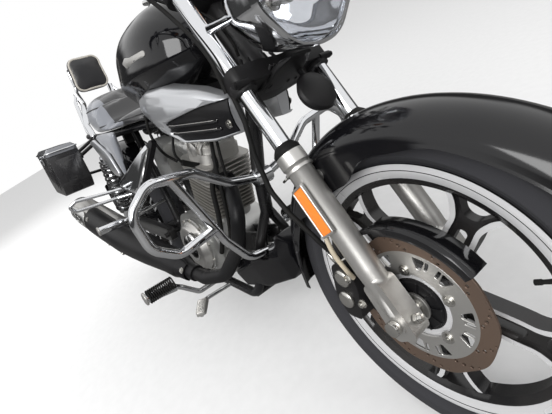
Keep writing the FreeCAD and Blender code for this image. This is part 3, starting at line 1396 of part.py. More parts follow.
def bag_guards():
    """Bright hoops ahead of the saddlebags, from the frame's rear uprights."""
    inner = -PIVOT_SIDE - RAIL_RADIUS + 3
    upright = bent_rod(cradle_path(), RAIL_RADIUS + GAP, 50)
    hoop = bent_rod([V(-316, inner, 500), V(-372, -190, 508), V(-392, -320, 524), V(-404, -346, 510),
                     V(-404, -330, 490), V(-384, -190, 478), V(-312, inner, 472)], 6, 18)
    return both_sides(hoop.cut(upright))


# Export

def park(shape):
    """Lean the upright bike to the left until its side stand meets the ground."""
    parked = shape.copy()
    parked.rotate(V(0, 0, 0), X, -LEAN)
    parked.translate(Z * (TYRE_CROWN * (1 - math.cos(math.radians(LEAN)))))
    return parked


NODES = {
    "front_wheel": front_wheel,
    "front_tyre": front_tyre,
    "brake_disc": brake_disc,
    "front_axle": front_axle,
    "rear_wheel": rear_wheel,
    "rear_tyre": rear_tyre,
    "rear_sprocket": rear_sprocket,
    "rear_axle": rear_axle,
    "fork_sliders": fork_sliders,
    "fork_tubes": fork_tubes,
    "fork_clamps": fork_clamps,
    "front_fender": front_fender,
    "headlamp_shell": headlamp_shell,
    "headlamp_lens": headlamp_lens,
    "instrument": instrument,
    "handlebar": handlebar,
    "hand_controls": hand_controls,
    "mirrors": mirrors,
    "brake_caliper": brake_caliper,
    "disc_guard": disc_guard,
    "brake_hose": brake_hose,
    "front_indicators": front_indicators,
    "frame": frame,
    "swingarm": swingarm,
    "rear_shocks": rear_shocks,
    "chain": chain,
    "side_stand": side_stand,
    "crankcase": crankcase,
    "engine_covers": engine_covers,
    "cylinder": cylinder,
    "cylinder_head": cylinder_head,
    "carburettor": carburettor,
    "exhaust_pipe": exhaust_pipe,
    "muffler": muffler,
    "fuel_tank": fuel_tank,
    "tank_console": tank_console,
    "shrouds": shrouds,
    "shroud_grilles": shroud_grilles,
    "side_covers": side_covers,
    "side_panels": side_panels,
    "rider_seat": rider_seat,
    "passenger_seat": passenger_seat,
    "backrest_pad": backrest_pad,
    "backrest_frame": backrest_frame,
    "rear_fender": rear_fender,
    "rear_lamps": rear_lamps,
    "engine_guard": engine_guard,
    "foot_controls": foot_controls,
    "belly_pan": belly_pan,
    "bag_right": bag_right,
    "bag_left": bag_left,
    "lid_right": lid_right,
    "lid_left": lid_left,
    "bag_guards": bag_guards,
}

os.makedirs("parts", exist_ok=True)
for name, make in NODES.items():
    park(make()).exportStep("parts/" + name + ".step")
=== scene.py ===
"""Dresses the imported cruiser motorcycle: finishes, soft parts and fine detail.

Sizes are in millimetres in the upright bike's own frame, X forward and Y to the
rider's left, and every finished mesh is leaned onto the side stand at the end.
"""
from __future__ import annotations

import json
import logging
import math
from dataclasses import dataclass
from enum import Enum
from typing import Callable, Iterable, Sequence

import bmesh
import bpy
from mathutils import Matrix, Vector
from mathutils.bvhtree import BVHTree

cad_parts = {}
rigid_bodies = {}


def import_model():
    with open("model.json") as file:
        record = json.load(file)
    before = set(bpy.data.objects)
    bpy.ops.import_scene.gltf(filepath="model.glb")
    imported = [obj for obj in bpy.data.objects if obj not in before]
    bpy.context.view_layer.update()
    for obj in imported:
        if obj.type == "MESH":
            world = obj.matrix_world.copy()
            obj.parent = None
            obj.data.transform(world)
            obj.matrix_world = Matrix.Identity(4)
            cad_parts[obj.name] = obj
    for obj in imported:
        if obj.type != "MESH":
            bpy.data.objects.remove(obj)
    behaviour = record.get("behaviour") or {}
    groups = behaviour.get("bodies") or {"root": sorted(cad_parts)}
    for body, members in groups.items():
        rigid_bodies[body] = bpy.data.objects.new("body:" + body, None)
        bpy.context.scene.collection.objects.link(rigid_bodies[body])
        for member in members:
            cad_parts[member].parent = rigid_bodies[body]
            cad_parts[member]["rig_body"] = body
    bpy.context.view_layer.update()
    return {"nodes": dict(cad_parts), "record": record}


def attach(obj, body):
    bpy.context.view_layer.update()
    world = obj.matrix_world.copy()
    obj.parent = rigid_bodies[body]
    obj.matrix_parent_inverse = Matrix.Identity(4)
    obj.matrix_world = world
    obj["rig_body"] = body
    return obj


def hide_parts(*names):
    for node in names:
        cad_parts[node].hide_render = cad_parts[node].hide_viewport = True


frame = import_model()

Colour = tuple[float, float, float]
Row = Sequence[float]
LOG = logging.getLogger("cruiser")

MM = 0.001
X = Vector((1, 0, 0))
Z = Vector((0, 0, 1))
SIDE = Vector((0, 1, 0))
LEAN = math.radians(12.0)
TYRE_CROWN = 44.0
LIFT = TYRE_CROWN * (1 - math.cos(LEAN))
PARK = Matrix.Scale(MM, 4) @ Matrix.Translation((0, 0, LIFT)) @ Matrix.Rotation(-LEAN, 4, "X")
TURN = PARK.to_3x3().normalized()
UPRIGHT = PARK.inverted()
RAKE = math.radians(30.0)
UP = Vector((-math.sin(RAKE), 0, math.cos(RAKE)))
AHEAD = Vector((math.cos(RAKE), 0, math.sin(RAKE)))
FRONT_AXLE = Vector((715, 0, 303))
REAR_AXLE = Vector((-715, 0, 296))
TILT = math.radians(15.0)
BORE_UP = Vector((math.sin(TILT), 0, math.cos(TILT)))
BORE_AHEAD = Vector((math.cos(TILT), 0, -math.sin(TILT)))
BORE_BASE = Vector((30, 0, 330))
HEAD_BASE = 186.3
WELD = 0.00002
BESIDE_MISSED = 60.0
SURFACES: dict[str, BVHTree] = {}


def fork(up: float, ahead: float = 0.0, side: float = 0.0) -> Vector:
    """A point by its distances along, ahead of and beside the fork."""
    return FRONT_AXLE + UP * up + AHEAD * ahead + SIDE * side


def engine(up: float, ahead: float = 0.0, side: float = 0.0) -> Vector:
    """A point by its distances along, ahead of and beside the cylinder."""
    return BORE_BASE + BORE_UP * up + BORE_AHEAD * ahead + SIDE * side


def polar(centre: Vector, radius: float, degrees: float, side: float = 0.0) -> Vector:
    """A point round a wheel, its angle going up from straight ahead."""
    turn = math.radians(degrees)
    return centre + Vector((radius * math.cos(turn), side, radius * math.sin(turn)))


def placed(origin: Vector, across: Vector, up: Vector) -> Matrix:
    """A matrix that puts flat (across, up) drawings at a place, rising towards the viewer.

    Args:
        origin: where the drawing's (0, 0) goes.
        across: direction of the drawing's first axis.
        up: direction of its second axis.

    Returns:
        The matrix; its third axis is across x up.
    """
    across = across.normalized()
    up = (up - across * up.dot(across)).normalized()
    out = across.cross(up)
    turn = Matrix((across, up, out)).transposed().to_4x4()
    return Matrix.Translation(origin) @ turn


def heading(turn: float) -> Vector:
    """Direction in the wheels' plane, its angle in radians going up from straight ahead."""
    return Vector((math.cos(turn), 0, math.sin(turn)))


def flank(spot: Vector, sign: int) -> Matrix:
    """Upright plane at a place on the bike's side (-1 right, 1 left), seen from that side."""
    return placed(spot, X * -sign, Z)


def aimed(origin: Row, run: Vector, axis: str = "Z") -> Matrix:
    """A matrix that moves to a place and turns an axis along a run."""
    return Matrix.Translation(origin) @ run.to_track_quat(axis, "Y").to_matrix().to_4x4()


def round_spots(radius: float, count: int, first: float) -> list[tuple[float, float]]:
    """Flat points spread evenly round (0, 0), the first at an angle in degrees."""
    turns = [math.radians(first + 360 / count * i) for i in range(count)]
    return [(radius * math.cos(turn), radius * math.sin(turn)) for turn in turns]


def between(rows: Sequence[Row], at: float, eased: bool = False) -> float:
    """Value at a place in rows of (place, value), straight or eased between them."""
    for (a, low), (b, high) in zip(rows, rows[1:]):
        if at <= b:
            t = (at - a) / (b - a)
            return low + (high - low) * (3 * t * t - 2 * t ** 3 if eased else t)
    return rows[-1][1]


def linked(name: str, data: bpy.types.ID) -> bpy.types.Object:
    """A new object in the scene."""
    piece = bpy.data.objects.new(name, data)
    bpy.context.scene.collection.objects.link(piece)
    return piece


def evaluated(piece: bpy.types.Object) -> bpy.types.Mesh:
    """A plain mesh of an object as its modifiers leave it."""
    bpy.context.view_layer.update()
    graph = bpy.context.evaluated_depsgraph_get()
    return bpy.data.meshes.new_from_object(piece.evaluated_get(graph))


def surface_of(data: bpy.types.Mesh) -> BVHTree:
    """A mesh's surface, for rays."""
    return BVHTree.FromPolygons([v.co for v in data.vertices], [p.vertices for p in data.polygons])


# Finishes


class Texture(Enum):
    """Kinds of surface relief that a finish can have."""

    SMOOTH = "smooth"
    CAST = "cast"
    BRUSHED = "brushed"
    LEATHER = "leather"
    MOULDED = "moulded"


class Nodes:
    """Writes shader nodes into one tree."""

    def __init__(self, tree: bpy.types.NodeTree) -> None:
        """Keeps the tree that the nodes go into."""
        self.tree = tree

    def add(self, kind: str, inputs: dict | None = None, **settings: object) -> bpy.types.Node:
        """Adds one node.

        Args:
            kind: the node's Blender type name.
            inputs: values or sockets for its inputs, by name or number.
            settings: properties of the node itself.

        Returns:
            The new node.
        """
        node = self.tree.nodes.new(kind)
        for key, value in settings.items():
            setattr(node, key, value)
        for key, value in (inputs or {}).items():
            socket = node.inputs[key]
            if isinstance(value, bpy.types.NodeSocket):
                self.tree.links.new(value, socket)
            else:
                socket.default_value = value
        return node

    def calc(self, operation: str, *values: object) -> bpy.types.NodeSocket:
        """Adds one math node and hands back its result."""
        return self.add("ShaderNodeMath", dict(enumerate(values)), operation=operation).outputs[0]


def blank_material(name: str) -> tuple[bpy.types.Material, Nodes, bpy.types.Node]:
    """A new material with its node writer and its Principled BSDF."""
    material = bpy.data.materials.new(name)
    material.use_nodes = True
    return material, Nodes(material.node_tree), material.node_tree.nodes["Principled BSDF"]


def shader_group(name: str, inputs: dict[str, tuple[str, object]], outputs: dict[str, str],
                 write: Callable[[Nodes, bpy.types.Node, bpy.types.Node], None]) -> bpy.types.NodeTree:
    """Builds a named shader group once and hands it back on later calls.

    Args:
        name: the group's name.
        inputs: socket type and default by input name.
        outputs: socket type by output name.
        write: fills the group, given its node writer and its input and output nodes.

    Returns:
        The group's node tree.
    """
    known = bpy.data.node_groups.get(name)
    if known:
        return known
    tree = bpy.data.node_groups.new(name, "ShaderNodeTree")
    for key, (kind, default) in inputs.items():
        socket = tree.interface.new_socket(key, in_out="INPUT", socket_type=kind)
        if default is not None:
            socket.default_value = default
    for key, kind in outputs.items():
        tree.interface.new_socket(key, in_out="OUTPUT", socket_type=kind)
    nodes = Nodes(tree)
    write(nodes, nodes.add("NodeGroupInput"), nodes.add("NodeGroupOutput"))
    return tree


def relief_group() -> bpy.types.NodeTree:
    """Fine relief and a blotchy mask: casting skin, hide cells or moulded grain."""

    def write(nodes: Nodes, start: bpy.types.Node, end: bpy.types.Node) -> None:
        """Fills the group."""
        fine = nodes.add("ShaderNodeTexNoise", {"Vector": start.outputs["Vector"],
                                                "Scale": start.outputs["Scale"], "Detail": 4.0})
        cells = nodes.add("ShaderNodeTexVoronoi", {"Vector": start.outputs["Vector"],
                                                   "Scale": start.outputs["Scale"]},
                          feature="DISTANCE_TO_EDGE")
        soft = nodes.calc("MINIMUM", cells.outputs["Distance"], 0.12)
        mixed = nodes.add("ShaderNodeMix", {"Factor": start.outputs["Cells"], 2: fine.outputs["Fac"],
                                            3: soft})
        blotch = nodes.add("ShaderNodeTexNoise", {"Vector": start.outputs["Vector"], "Scale": 7.0,
                                                  "Detail": 3.0})
        mask = nodes.add("ShaderNodeMapRange", {"Value": blotch.outputs["Fac"], "From Min": 0.35,
                                                "From Max": 0.7})
        nodes.tree.links.new(mixed.outputs[0], end.inputs["Height"])
        nodes.tree.links.new(mask.outputs[0], end.inputs["Mask"])

    return shader_group("surface_relief",
                        {"Vector": ("NodeSocketVector", None), "Scale": ("NodeSocketFloat", 600.0),
                         "Cells": ("NodeSocketFloat", 0.0)},
                        {"Height": "NodeSocketFloat", "Mask": "NodeSocketFloat"}, write)


def wheel_group() -> bpy.types.NodeTree:
    """Radius from a wheel's axle, distance beside its plane and how squarely a face looks sideways."""

    def write(nodes: Nodes, start: bpy.types.Node, end: bpy.types.Node) -> None:
        """Fills the group."""
        from_axle = nodes.add("ShaderNodeVectorMath", {0: start.outputs["Vector"],
                                                       1: start.outputs["Centre"]},
                              operation="SUBTRACT")
        crossed = nodes.add("ShaderNodeVectorMath", {0: from_axle.outputs[0],
                                                     1: start.outputs["Axis"]},
                            operation="CROSS_PRODUCT")
        radius = nodes.add("ShaderNodeVectorMath", {0: crossed.outputs[0]}, operation="LENGTH")
        normal = nodes.add("ShaderNodeNewGeometry")
        turn = nodes.add("ShaderNodeVectorTransform", {0: normal.outputs["True Normal"]},
                         convert_from="WORLD", convert_to="OBJECT", vector_type="NORMAL")
        facing = nodes.add("ShaderNodeVectorMath", {0: turn.outputs[0], 1: start.outputs["Axis"]},
                           operation="DOT_PRODUCT")
        size = nodes.calc("ABSOLUTE", facing.outputs["Value"])
        beside = nodes.add("ShaderNodeVectorMath", {0: from_axle.outputs[0],
                                                    1: start.outputs["Axis"]},
                           operation="DOT_PRODUCT")
        side = nodes.calc("ABSOLUTE", beside.outputs["Value"])
        nodes.tree.links.new(radius.outputs["Value"], end.inputs["Radius"])
        nodes.tree.links.new(size, end.inputs["Facing"])
        nodes.tree.links.new(side, end.inputs["Side"])

    return shader_group("wheel_place",
                        {"Vector": ("NodeSocketVector", None), "Centre": ("NodeSocketVector", None),
                         "Axis": ("NodeSocketVector", None)},
                        {"Radius": "NodeSocketFloat", "Facing": "NodeSocketFloat",
                         "Side": "NodeSocketFloat"}, write)


def beside_axle(nodes: Nodes, centre: Row) -> bpy.types.Node:
    """The group that measures places against a sideways axle through a centre."""
    where = nodes.add("ShaderNodeTexCoord")
    place = nodes.add("ShaderNodeGroup", node_tree=wheel_group())
    nodes.tree.links.new(where.outputs["Object"], place.inputs["Vector"])
    place.inputs["Centre"].default_value = PARK @ Vector(centre)
    place.inputs["Axis"].default_value = TURN @ SIDE
    return place


@dataclass(frozen=True)
class Finish:
    """One surface finish of the motorcycle.

    Colours are linear. relief is the bump's strength and scale its cells per metre.
    """

    name: str
    colour: Colour
    roughness: float = 0.4
    metallic: float = 0.0
    coat: float = 0.0
    relief: float = 0.0
    scale: float = 600.0
    texture: Texture = Texture.SMOOTH
    uneven: float = 0.08
    dust: float = 0.06
    dust_colour: Colour = (0.32, 0.29, 0.25)
    sheen: float = 0.0
    specular: float = 0.5

    def build(self) -> bpy.types.Material:
        """Builds the material, or hands back the one built before."""
        known = bpy.data.materials.get(self.name)
        if known:
            return known
        material, nodes, surface = blank_material(self.name)
        self.paint(nodes, surface)
        return material

    def paint(self, nodes: Nodes, surface: bpy.types.Node) -> None:
        """Writes the finish's nodes.

        Args:
            nodes: writer for the material's tree.
            surface: its Principled BSDF.
        """
        where = nodes.add("ShaderNodeTexCoord")
        relief = nodes.add("ShaderNodeGroup", node_tree=relief_group())
        nodes.tree.links.new(where.outputs["Object"], relief.inputs["Vector"])
        relief.inputs["Scale"].default_value = self.scale
        relief.inputs["Cells"].default_value = 1.0 if self.texture == Texture.LEATHER else 0.0
        film = nodes.calc("MULTIPLY", relief.outputs["Mask"], self.dust)
        tint = nodes.add("ShaderNodeMix", {0: film, 6: (*self.colour, 1.0),
                                           7: (*self.dust_colour, 1.0)}, data_type="RGBA")
        rough = nodes.add("ShaderNodeMapRange", {"Value": relief.outputs["Mask"],
                                                 "To Min": self.roughness,
                                                 "To Max": min(1.0, self.roughness + self.uneven)})
        nodes.tree.links.new(tint.outputs[2], surface.inputs["Base Color"])
        nodes.tree.links.new(rough.outputs[0], surface.inputs["Roughness"])
        for key, value in (("Metallic", self.metallic), ("Coat Weight", self.coat),
                           ("Coat Roughness", 0.04), ("Sheen Weight", self.sheen),
                           ("Specular IOR Level", self.specular)):
            surface.inputs[key].default_value = value
        if self.relief > 0:
            bump = nodes.add("ShaderNodeBump", {"Strength": self.relief, "Distance": 0.0006,
                                                "Height": relief.outputs["Height"]})
            nodes.tree.links.new(bump.outputs[0], surface.inputs["Normal"])


@dataclass(frozen=True)
class WheelFinish(Finish):
    """Black casting whose raised spoke borders and rim edges are machined bright."""

    centre: Colour = (0.0, 0.0, 0.0)
    machined: Colour = (0.74, 0.74, 0.75)
    machined_metal: float = 0.45
    flange_from: float = 0.214
    spokes_to: float = 0.2
    hub_to: float = 0.05
    border_at: float = 0.0138
    groove_from: float = 0.0142
    groove_to: float = 0.0158
    turning_rate: float = 5200.0

    def paint(self, nodes: Nodes, surface: bpy.types.Node) -> None:
        """Adds the machined areas over the black."""
        super().paint(nodes, surface)
        tree = nodes.tree
        place = beside_axle(nodes, self.centre)

        def over(output: str, limit: float, operation: str = "GREATER_THAN") -> bpy.types.NodeSocket:
            """A mask of where one measure passes a limit."""
            return nodes.calc(operation, place.outputs[output], limit)

        def both(first: bpy.types.NodeSocket, second: bpy.types.NodeSocket) -> bpy.types.NodeSocket:
            """The part that two masks share."""
            return nodes.calc("MULTIPLY", first, second)

        borders = both(both(over("Side", self.border_at), over("Facing", 0.9)),
                       both(over("Radius", self.hub_to), over("Radius", self.spokes_to, "LESS_THAN")))
        groove = both(over("Radius", self.flange_from + self.groove_from),
                      over("Radius", self.flange_from + self.groove_to, "LESS_THAN"))
        clear = nodes.calc("SUBTRACT", 1.0, groove)
        rim = both(both(over("Radius", self.flange_from), over("Facing", 0.12)), clear)
        bright = nodes.calc("MAXIMUM", borders, rim)
        base = surface.inputs["Base Color"].links[0].from_socket
        colour = nodes.add("ShaderNodeMix", {0: bright, 6: base,
                                             7: (*self.machined, 1.0)}, data_type="RGBA")
        tree.links.new(colour.outputs[2], surface.inputs["Base Color"])
        tree.links.new(nodes.calc("MULTIPLY", bright, self.machined_metal), surface.inputs["Metallic"])
        wave = nodes.calc("SINE", nodes.calc("MULTIPLY", place.outputs["Radius"], self.turning_rate))
        bump = nodes.add("ShaderNodeBump", {"Strength": 0.12, "Distance": 0.0002,
                                            "Height": both(wave, bright)})
        tree.links.new(bump.outputs[0], surface.inputs["Normal"])


@dataclass(frozen=True)
class SideReflectionFinish(Finish):
    """Dark cover whose sides, past a distance from the bike's middle, are painted pale grey as a painted
    reflection of the bright surroundings on its black vinyl.
    """

    # Colour of the painted reflection on the cover's sides.
    panels: Colour = (0.2, 0.21, 0.235)
    reflection_from: float = 0.104

    def paint(self, nodes: Nodes, surface: bpy.types.Node) -> None:
        """Paints the pale reflection on the sides over the dark cover."""
        super().paint(nodes, surface)
        place = beside_axle(nodes, (0, 0, 0))
        # Paints the pale reflection on the sides, from the given distance out.
        beyond = nodes.add("ShaderNodeMapRange", {"Value": place.outputs["Side"],
                                                  "From Min": self.reflection_from,
                                                  "From Max": self.reflection_from + 0.002})
        base = surface.inputs["Base Color"].links[0].from_socket
        colour = nodes.add("ShaderNodeMix", {0: beyond.outputs[0], 6: base,
                                             7: (*self.panels, 1.0)}, data_type="RGBA")
        nodes.tree.links.new(colour.outputs[2], surface.inputs["Base Color"])


@dataclass(frozen=True)
class LensFinish:
    """Clear or coloured lens, or the mirror's glass when it is opaque."""

    name: str
    colour: Colour
    roughness: float = 0.03
    transmission: float = 1.0
    metallic: float = 0.0
    ribs: float = 0.0

    def build(self) -> bpy.types.Material:
        """Builds the material, or hands back the one built before."""
        known = bpy.data.materials.get(self.name)
        if known:
            return known
        material, nodes, surface = blank_material(self.name)
        for key, value in (("Roughness", self.roughness), ("Transmission Weight", self.transmission),
                           ("Metallic", self.metallic), ("IOR", 1.45)):
            surface.inputs[key].default_value = value
        where = nodes.add("ShaderNodeTexCoord")
        mottle = nodes.add("ShaderNodeTexNoise", {"Vector": where.outputs["Object"], "Scale": 90.0})
        shade = nodes.add("ShaderNodeMix", {0: mottle.outputs["Fac"], 6: (*self.colour, 1.0),
                                            7: (*[c * 0.86 for c in self.colour], 1.0)},
                          data_type="RGBA")
        nodes.tree.links.new(shade.outputs[2], surface.inputs["Base Color"])
        if self.ribs > 0:
            cells = nodes.add("ShaderNodeTexVoronoi", {"Vector": where.outputs["Object"],
                                                       "Scale": self.ribs})
            bump = nodes.add("ShaderNodeBump", {"Strength": 0.5, "Distance": 0.001,
                                                "Height": cells.outputs["Distance"]})
            nodes.tree.links.new(bump.outputs[0], surface.inputs["Normal"])
        return material


BLACK_PAINT = Finish("gloss_black_paint", (0.004, 0.004, 0.005), 0.07, 0.0, 0.0, 0.02, 900.0,
                     dust=0.012, specular=0.5)
SILVER_PAINT = Finish("metallic_silver_paint", (0.55, 0.56, 0.58), 0.28, 0.75, 0.8, 0.03, 2400.0,
                      dust=0.03)
FRAME_PAINT = Finish("black_frame_enamel", (0.007, 0.007, 0.008), 0.25, 0.0, 0.0, 0.05, 500.0,
                     dust=0.03, specular=0.4)
CHROME = Finish("bright_chrome", (0.78, 0.79, 0.81), 0.05, 1.0, 0.0, 0.0, uneven=0.06, dust=0.05)
SATIN_ALLOY = Finish("satin_alloy", (0.56, 0.55, 0.53), 0.34, 0.9, 0.0, 0.12, 1500.0,
                     Texture.CAST, dust=0.08)
CAST_ALLOY = Finish("cast_alloy", (0.5, 0.49, 0.47), 0.42, 0.85, 0.0, 0.35, 900.0, Texture.CAST,
                    uneven=0.16, dust=0.16)
FIN_ALLOY = Finish("finned_alloy", (0.46, 0.45, 0.43), 0.42, 0.85, 0.0, 0.3, 1100.0, Texture.CAST,
                   uneven=0.18, dust=0.2)
POLISHED = Finish("polished_cover", (0.7, 0.7, 0.69), 0.16, 1.0, 0.0, 0.03, 700.0, dust=0.06)
STEEL = Finish("machined_steel", (0.34, 0.3, 0.27), 0.35, 0.9, 0.0, 0.1, 1400.0, Texture.BRUSHED,
               uneven=0.2, dust=0.18, dust_colour=(0.22, 0.13, 0.07))
DISC_STEEL = Finish("worn_disc_steel", (0.23, 0.17, 0.135), 0.38, 0.85, 0.0, 0.1, 1400.0,
                    Texture.BRUSHED, uneven=0.2, dust=0.2, dust_colour=(0.2, 0.11, 0.06))
SPRING = Finish("spring_enamel", (0.03, 0.03, 0.032), 0.22, 0.3, 0.5, 0.02, 900.0)
BARREL_ALLOY = Finish("aged_barrel_alloy", (0.26, 0.25, 0.23), 0.46, 0.8, 0.0, 0.3, 1100.0,
                      Texture.CAST, uneven=0.18, dust=0.2)
BOLT_STEEL = Finish("plated_bolt", (0.62, 0.61, 0.58), 0.22, 1.0, dust=0.1)
HEAT_BLACK = Finish("heat_proof_black", (0.006, 0.006, 0.007), 0.4, 0.0, 0.0, 0.12, 1400.0,
                    Texture.CAST, dust=0.02, specular=0.25)
PLASTIC = Finish("moulded_black_plastic", (0.005, 0.005, 0.006), 0.4, 0.0, 0.0, 0.2, 1500.0,
                 Texture.MOULDED, dust=0.02, specular=0.2)
CASE_PLASTIC = Finish("gloss_case_plastic", (0.012, 0.012, 0.014), 0.2, 0.0, 0.3, 0.06, 1200.0,
                      Texture.MOULDED)
LID_PLASTIC = Finish("polished_lid_plastic", (0.16, 0.165, 0.18), 0.12, 0.0, 1.0, 0.02, 1200.0,
                     Texture.MOULDED)
RUBBER = Finish("soft_rubber", (0.007, 0.007, 0.007), 0.6, 0.0, 0.0, 0.25, 1800.0, Texture.MOULDED,
                dust=0.02, specular=0.15)
TYRE = Finish("tyre_rubber", (0.008, 0.008, 0.009), 0.62, 0.0, 0.0, 0.3, 1600.0, Texture.MOULDED,
              dust=0.03, specular=0.15)
HIDE = Finish("seat_hide", (0.022, 0.022, 0.024), 0.36, 0.0, 0.15, 0.4, 700.0, Texture.LEATHER,
              dust=0.04, sheen=0.1)
# Black seat covers whose pale sides are a painted reflection.
RIDER_HIDE = SideReflectionFinish("rider_seat_cover", (0.022, 0.022, 0.024), 0.34, 0.0, 0.4, 0.3, 700.0,
                           Texture.LEATHER, dust=0.04, sheen=0.2)
PASSENGER_HIDE = SideReflectionFinish("passenger_seat_cover", (0.022, 0.022, 0.024), 0.34, 0.0, 0.4, 0.3,
                               700.0, Texture.LEATHER, dust=0.04, sheen=0.2, reflection_from=0.088)
# Pale grey of the seat skirts is a painted reflection; the vinyl itself is black.
SKIRT_REFLECTION_VINYL = Finish("seat_side_vinyl", (0.2, 0.21, 0.235), 0.34, 0.0, 0.5, 0.25, 800.0,
                    Texture.LEATHER, dust=0.03, sheen=0.3)
PIPING = Finish("seat_piping", (0.03, 0.03, 0.032), 0.4, 0.0, 0.1, 0.1, 900.0)
PALE_TRIM = Finish("pale_piping", (0.5, 0.47, 0.42), 0.45, 0.0, 0.0, 0.1, 900.0)
PALE_HOSE = Finish("pale_hose", (0.46, 0.4, 0.3), 0.4, 0.0, 0.1, 0.08, 900.0)
DIAL = Finish("dial_face", (0.75, 0.76, 0.78), 0.5)
DIAL_MARK = Finish("dial_marks", (0.01, 0.01, 0.012), 0.5)
NEEDLE = Finish("dial_needle", (0.6, 0.03, 0.02), 0.4)
PLATE_BLANK = Finish("blank_plate", (0.62, 0.63, 0.62), 0.4, 0.2, 0.0, 0.05, 500.0)
CLEAR = LensFinish("clear_lens", (0.97, 0.98, 1.0))
RED_LENS = LensFinish("red_lens", (0.7, 0.01, 0.01), 0.12, 0.55, ribs=160.0)
AMBER_LENS = LensFinish("amber_lens", (0.95, 0.3, 0.02), 0.12, 0.5, ribs=160.0)
AMBER_REFLECTOR = LensFinish("amber_reflector", (0.85, 0.24, 0.03), 0.2, 0.0, ribs=230.0)
MIRROR_GLASS = LensFinish("mirror_glass", (0.85, 0.87, 0.9), 0.02, 0.0, 1.0)
FRONT_WHEEL = WheelFinish("front_wheel_casting", (0.006, 0.006, 0.007), 0.22, 0.0, 0.0, 0.03,
                          900.0, centre=tuple(FRONT_AXLE), flange_from=0.2165, spokes_to=0.206)
REAR_WHEEL = WheelFinish("rear_wheel_casting", (0.006, 0.006, 0.007), 0.22, 0.0, 0.0, 0.03,
                         900.0, centre=tuple(REAR_AXLE), flange_from=0.1915, spokes_to=0.181,
                         hub_to=0.066)


# Paths and outlines


def filleted(points: Iterable[Row], bend: float, steps: int = 6) -> list[Vector]:
    """A path of straight runs joined by arcs, as a bent metal bar has.

    Args:
        points: the corners.
        bend: radius of the arcs.
        steps: points on each arc.

    Returns:
        The points along the path.
    """
    corners = [Vector(p) for p in points]
    path = [corners[0]]
    for before, corner, after in zip(corners, corners[1:], corners[2:]):
        back, on = before - corner, after - corner
        limit = 0.48 * min(back.length, on.length)
        back.normalize()
        on.normalize()
        half = back.angle(on) / 2
        reach = min(bend / math.tan(half), limit)
        radius = reach * math.tan(half)
        middle = corner + (back + on).normalized() * (radius / math.sin(half))
        start, end = corner + back * reach - middle, corner + on * reach - middle
        for i in range(steps + 1):
            share = i / steps
            path.append(middle + start.slerp(end, share) if start.angle(end) > 1e-4 else corner)
    return path + [corners[-1]]


def flowing(points: Iterable[Row], steps: int = 8) -> list[Vector]:
    """A smooth path through its points, as a hose or cable takes."""
    p = [Vector(q) for q in points]
    p = [p[0] * 2 - p[1]] + p + [p[-1] * 2 - p[-2]]
    path = []
    for a, b, c, d in zip(p, p[1:], p[2:], p[3:]):
        for i in range(steps):
            t = i / steps
            path.append(0.5 * (2 * b + (c - a) * t + (2 * a - 5 * b + 4 * c - d) * t * t
                               + (3 * b - a - 3 * c + d) * t ** 3))
    return path + [p[-2]]


def rounded(corners: Iterable[Row], radius: float, steps: int = 5) -> list[tuple[float, float]]:
    """A flat closed outline with rounded corners.

    Args:
        corners: flat (across, up) points.
        radius: radius of each corner, less where a side is short.
        steps: points on each corner.

    Returns:
        Flat points in the same order.
    """
    flat = [Vector((c[0], c[1])) for c in corners]
    outline = []
    for i, here in enumerate(flat):
        back, on = flat[i - 1] - here, flat[(i + 1) % len(flat)] - here
        reach = min(radius, 0.46 * back.length, 0.46 * on.length)
        start, end = here + back.normalized() * reach, here + on.normalized() * reach
        for k in range(steps + 1):
            t = k / steps
            point = start * (1 - t) ** 2 + here * 2 * t * (1 - t) + end * t * t
            outline.append((point.x, point.y))
    return outline


def circle(radius: float, sides: int = 32, centre: Row = (0, 0), wave: float = 0.0,
           lobes: int = 0) -> list[tuple[float, float]]:
    """A flat circle, wavy if it has lobes."""
    points = []
    for i in range(sides):
        turn = math.tau * i / sides
        r = radius + wave * math.cos(lobes * turn)
        points.append((centre[0] + r * math.cos(turn), centre[1] + r * math.sin(turn)))
    return points


def turned(points: Iterable[Row], degrees: float) -> list[tuple[float, float]]:
    """A flat outline turned about (0, 0)."""
    turn = math.radians(degrees)
    return [(x * math.cos(turn) - y * math.sin(turn), x * math.sin(turn) + y * math.cos(turn))
            for x, y in points]


# Meshes


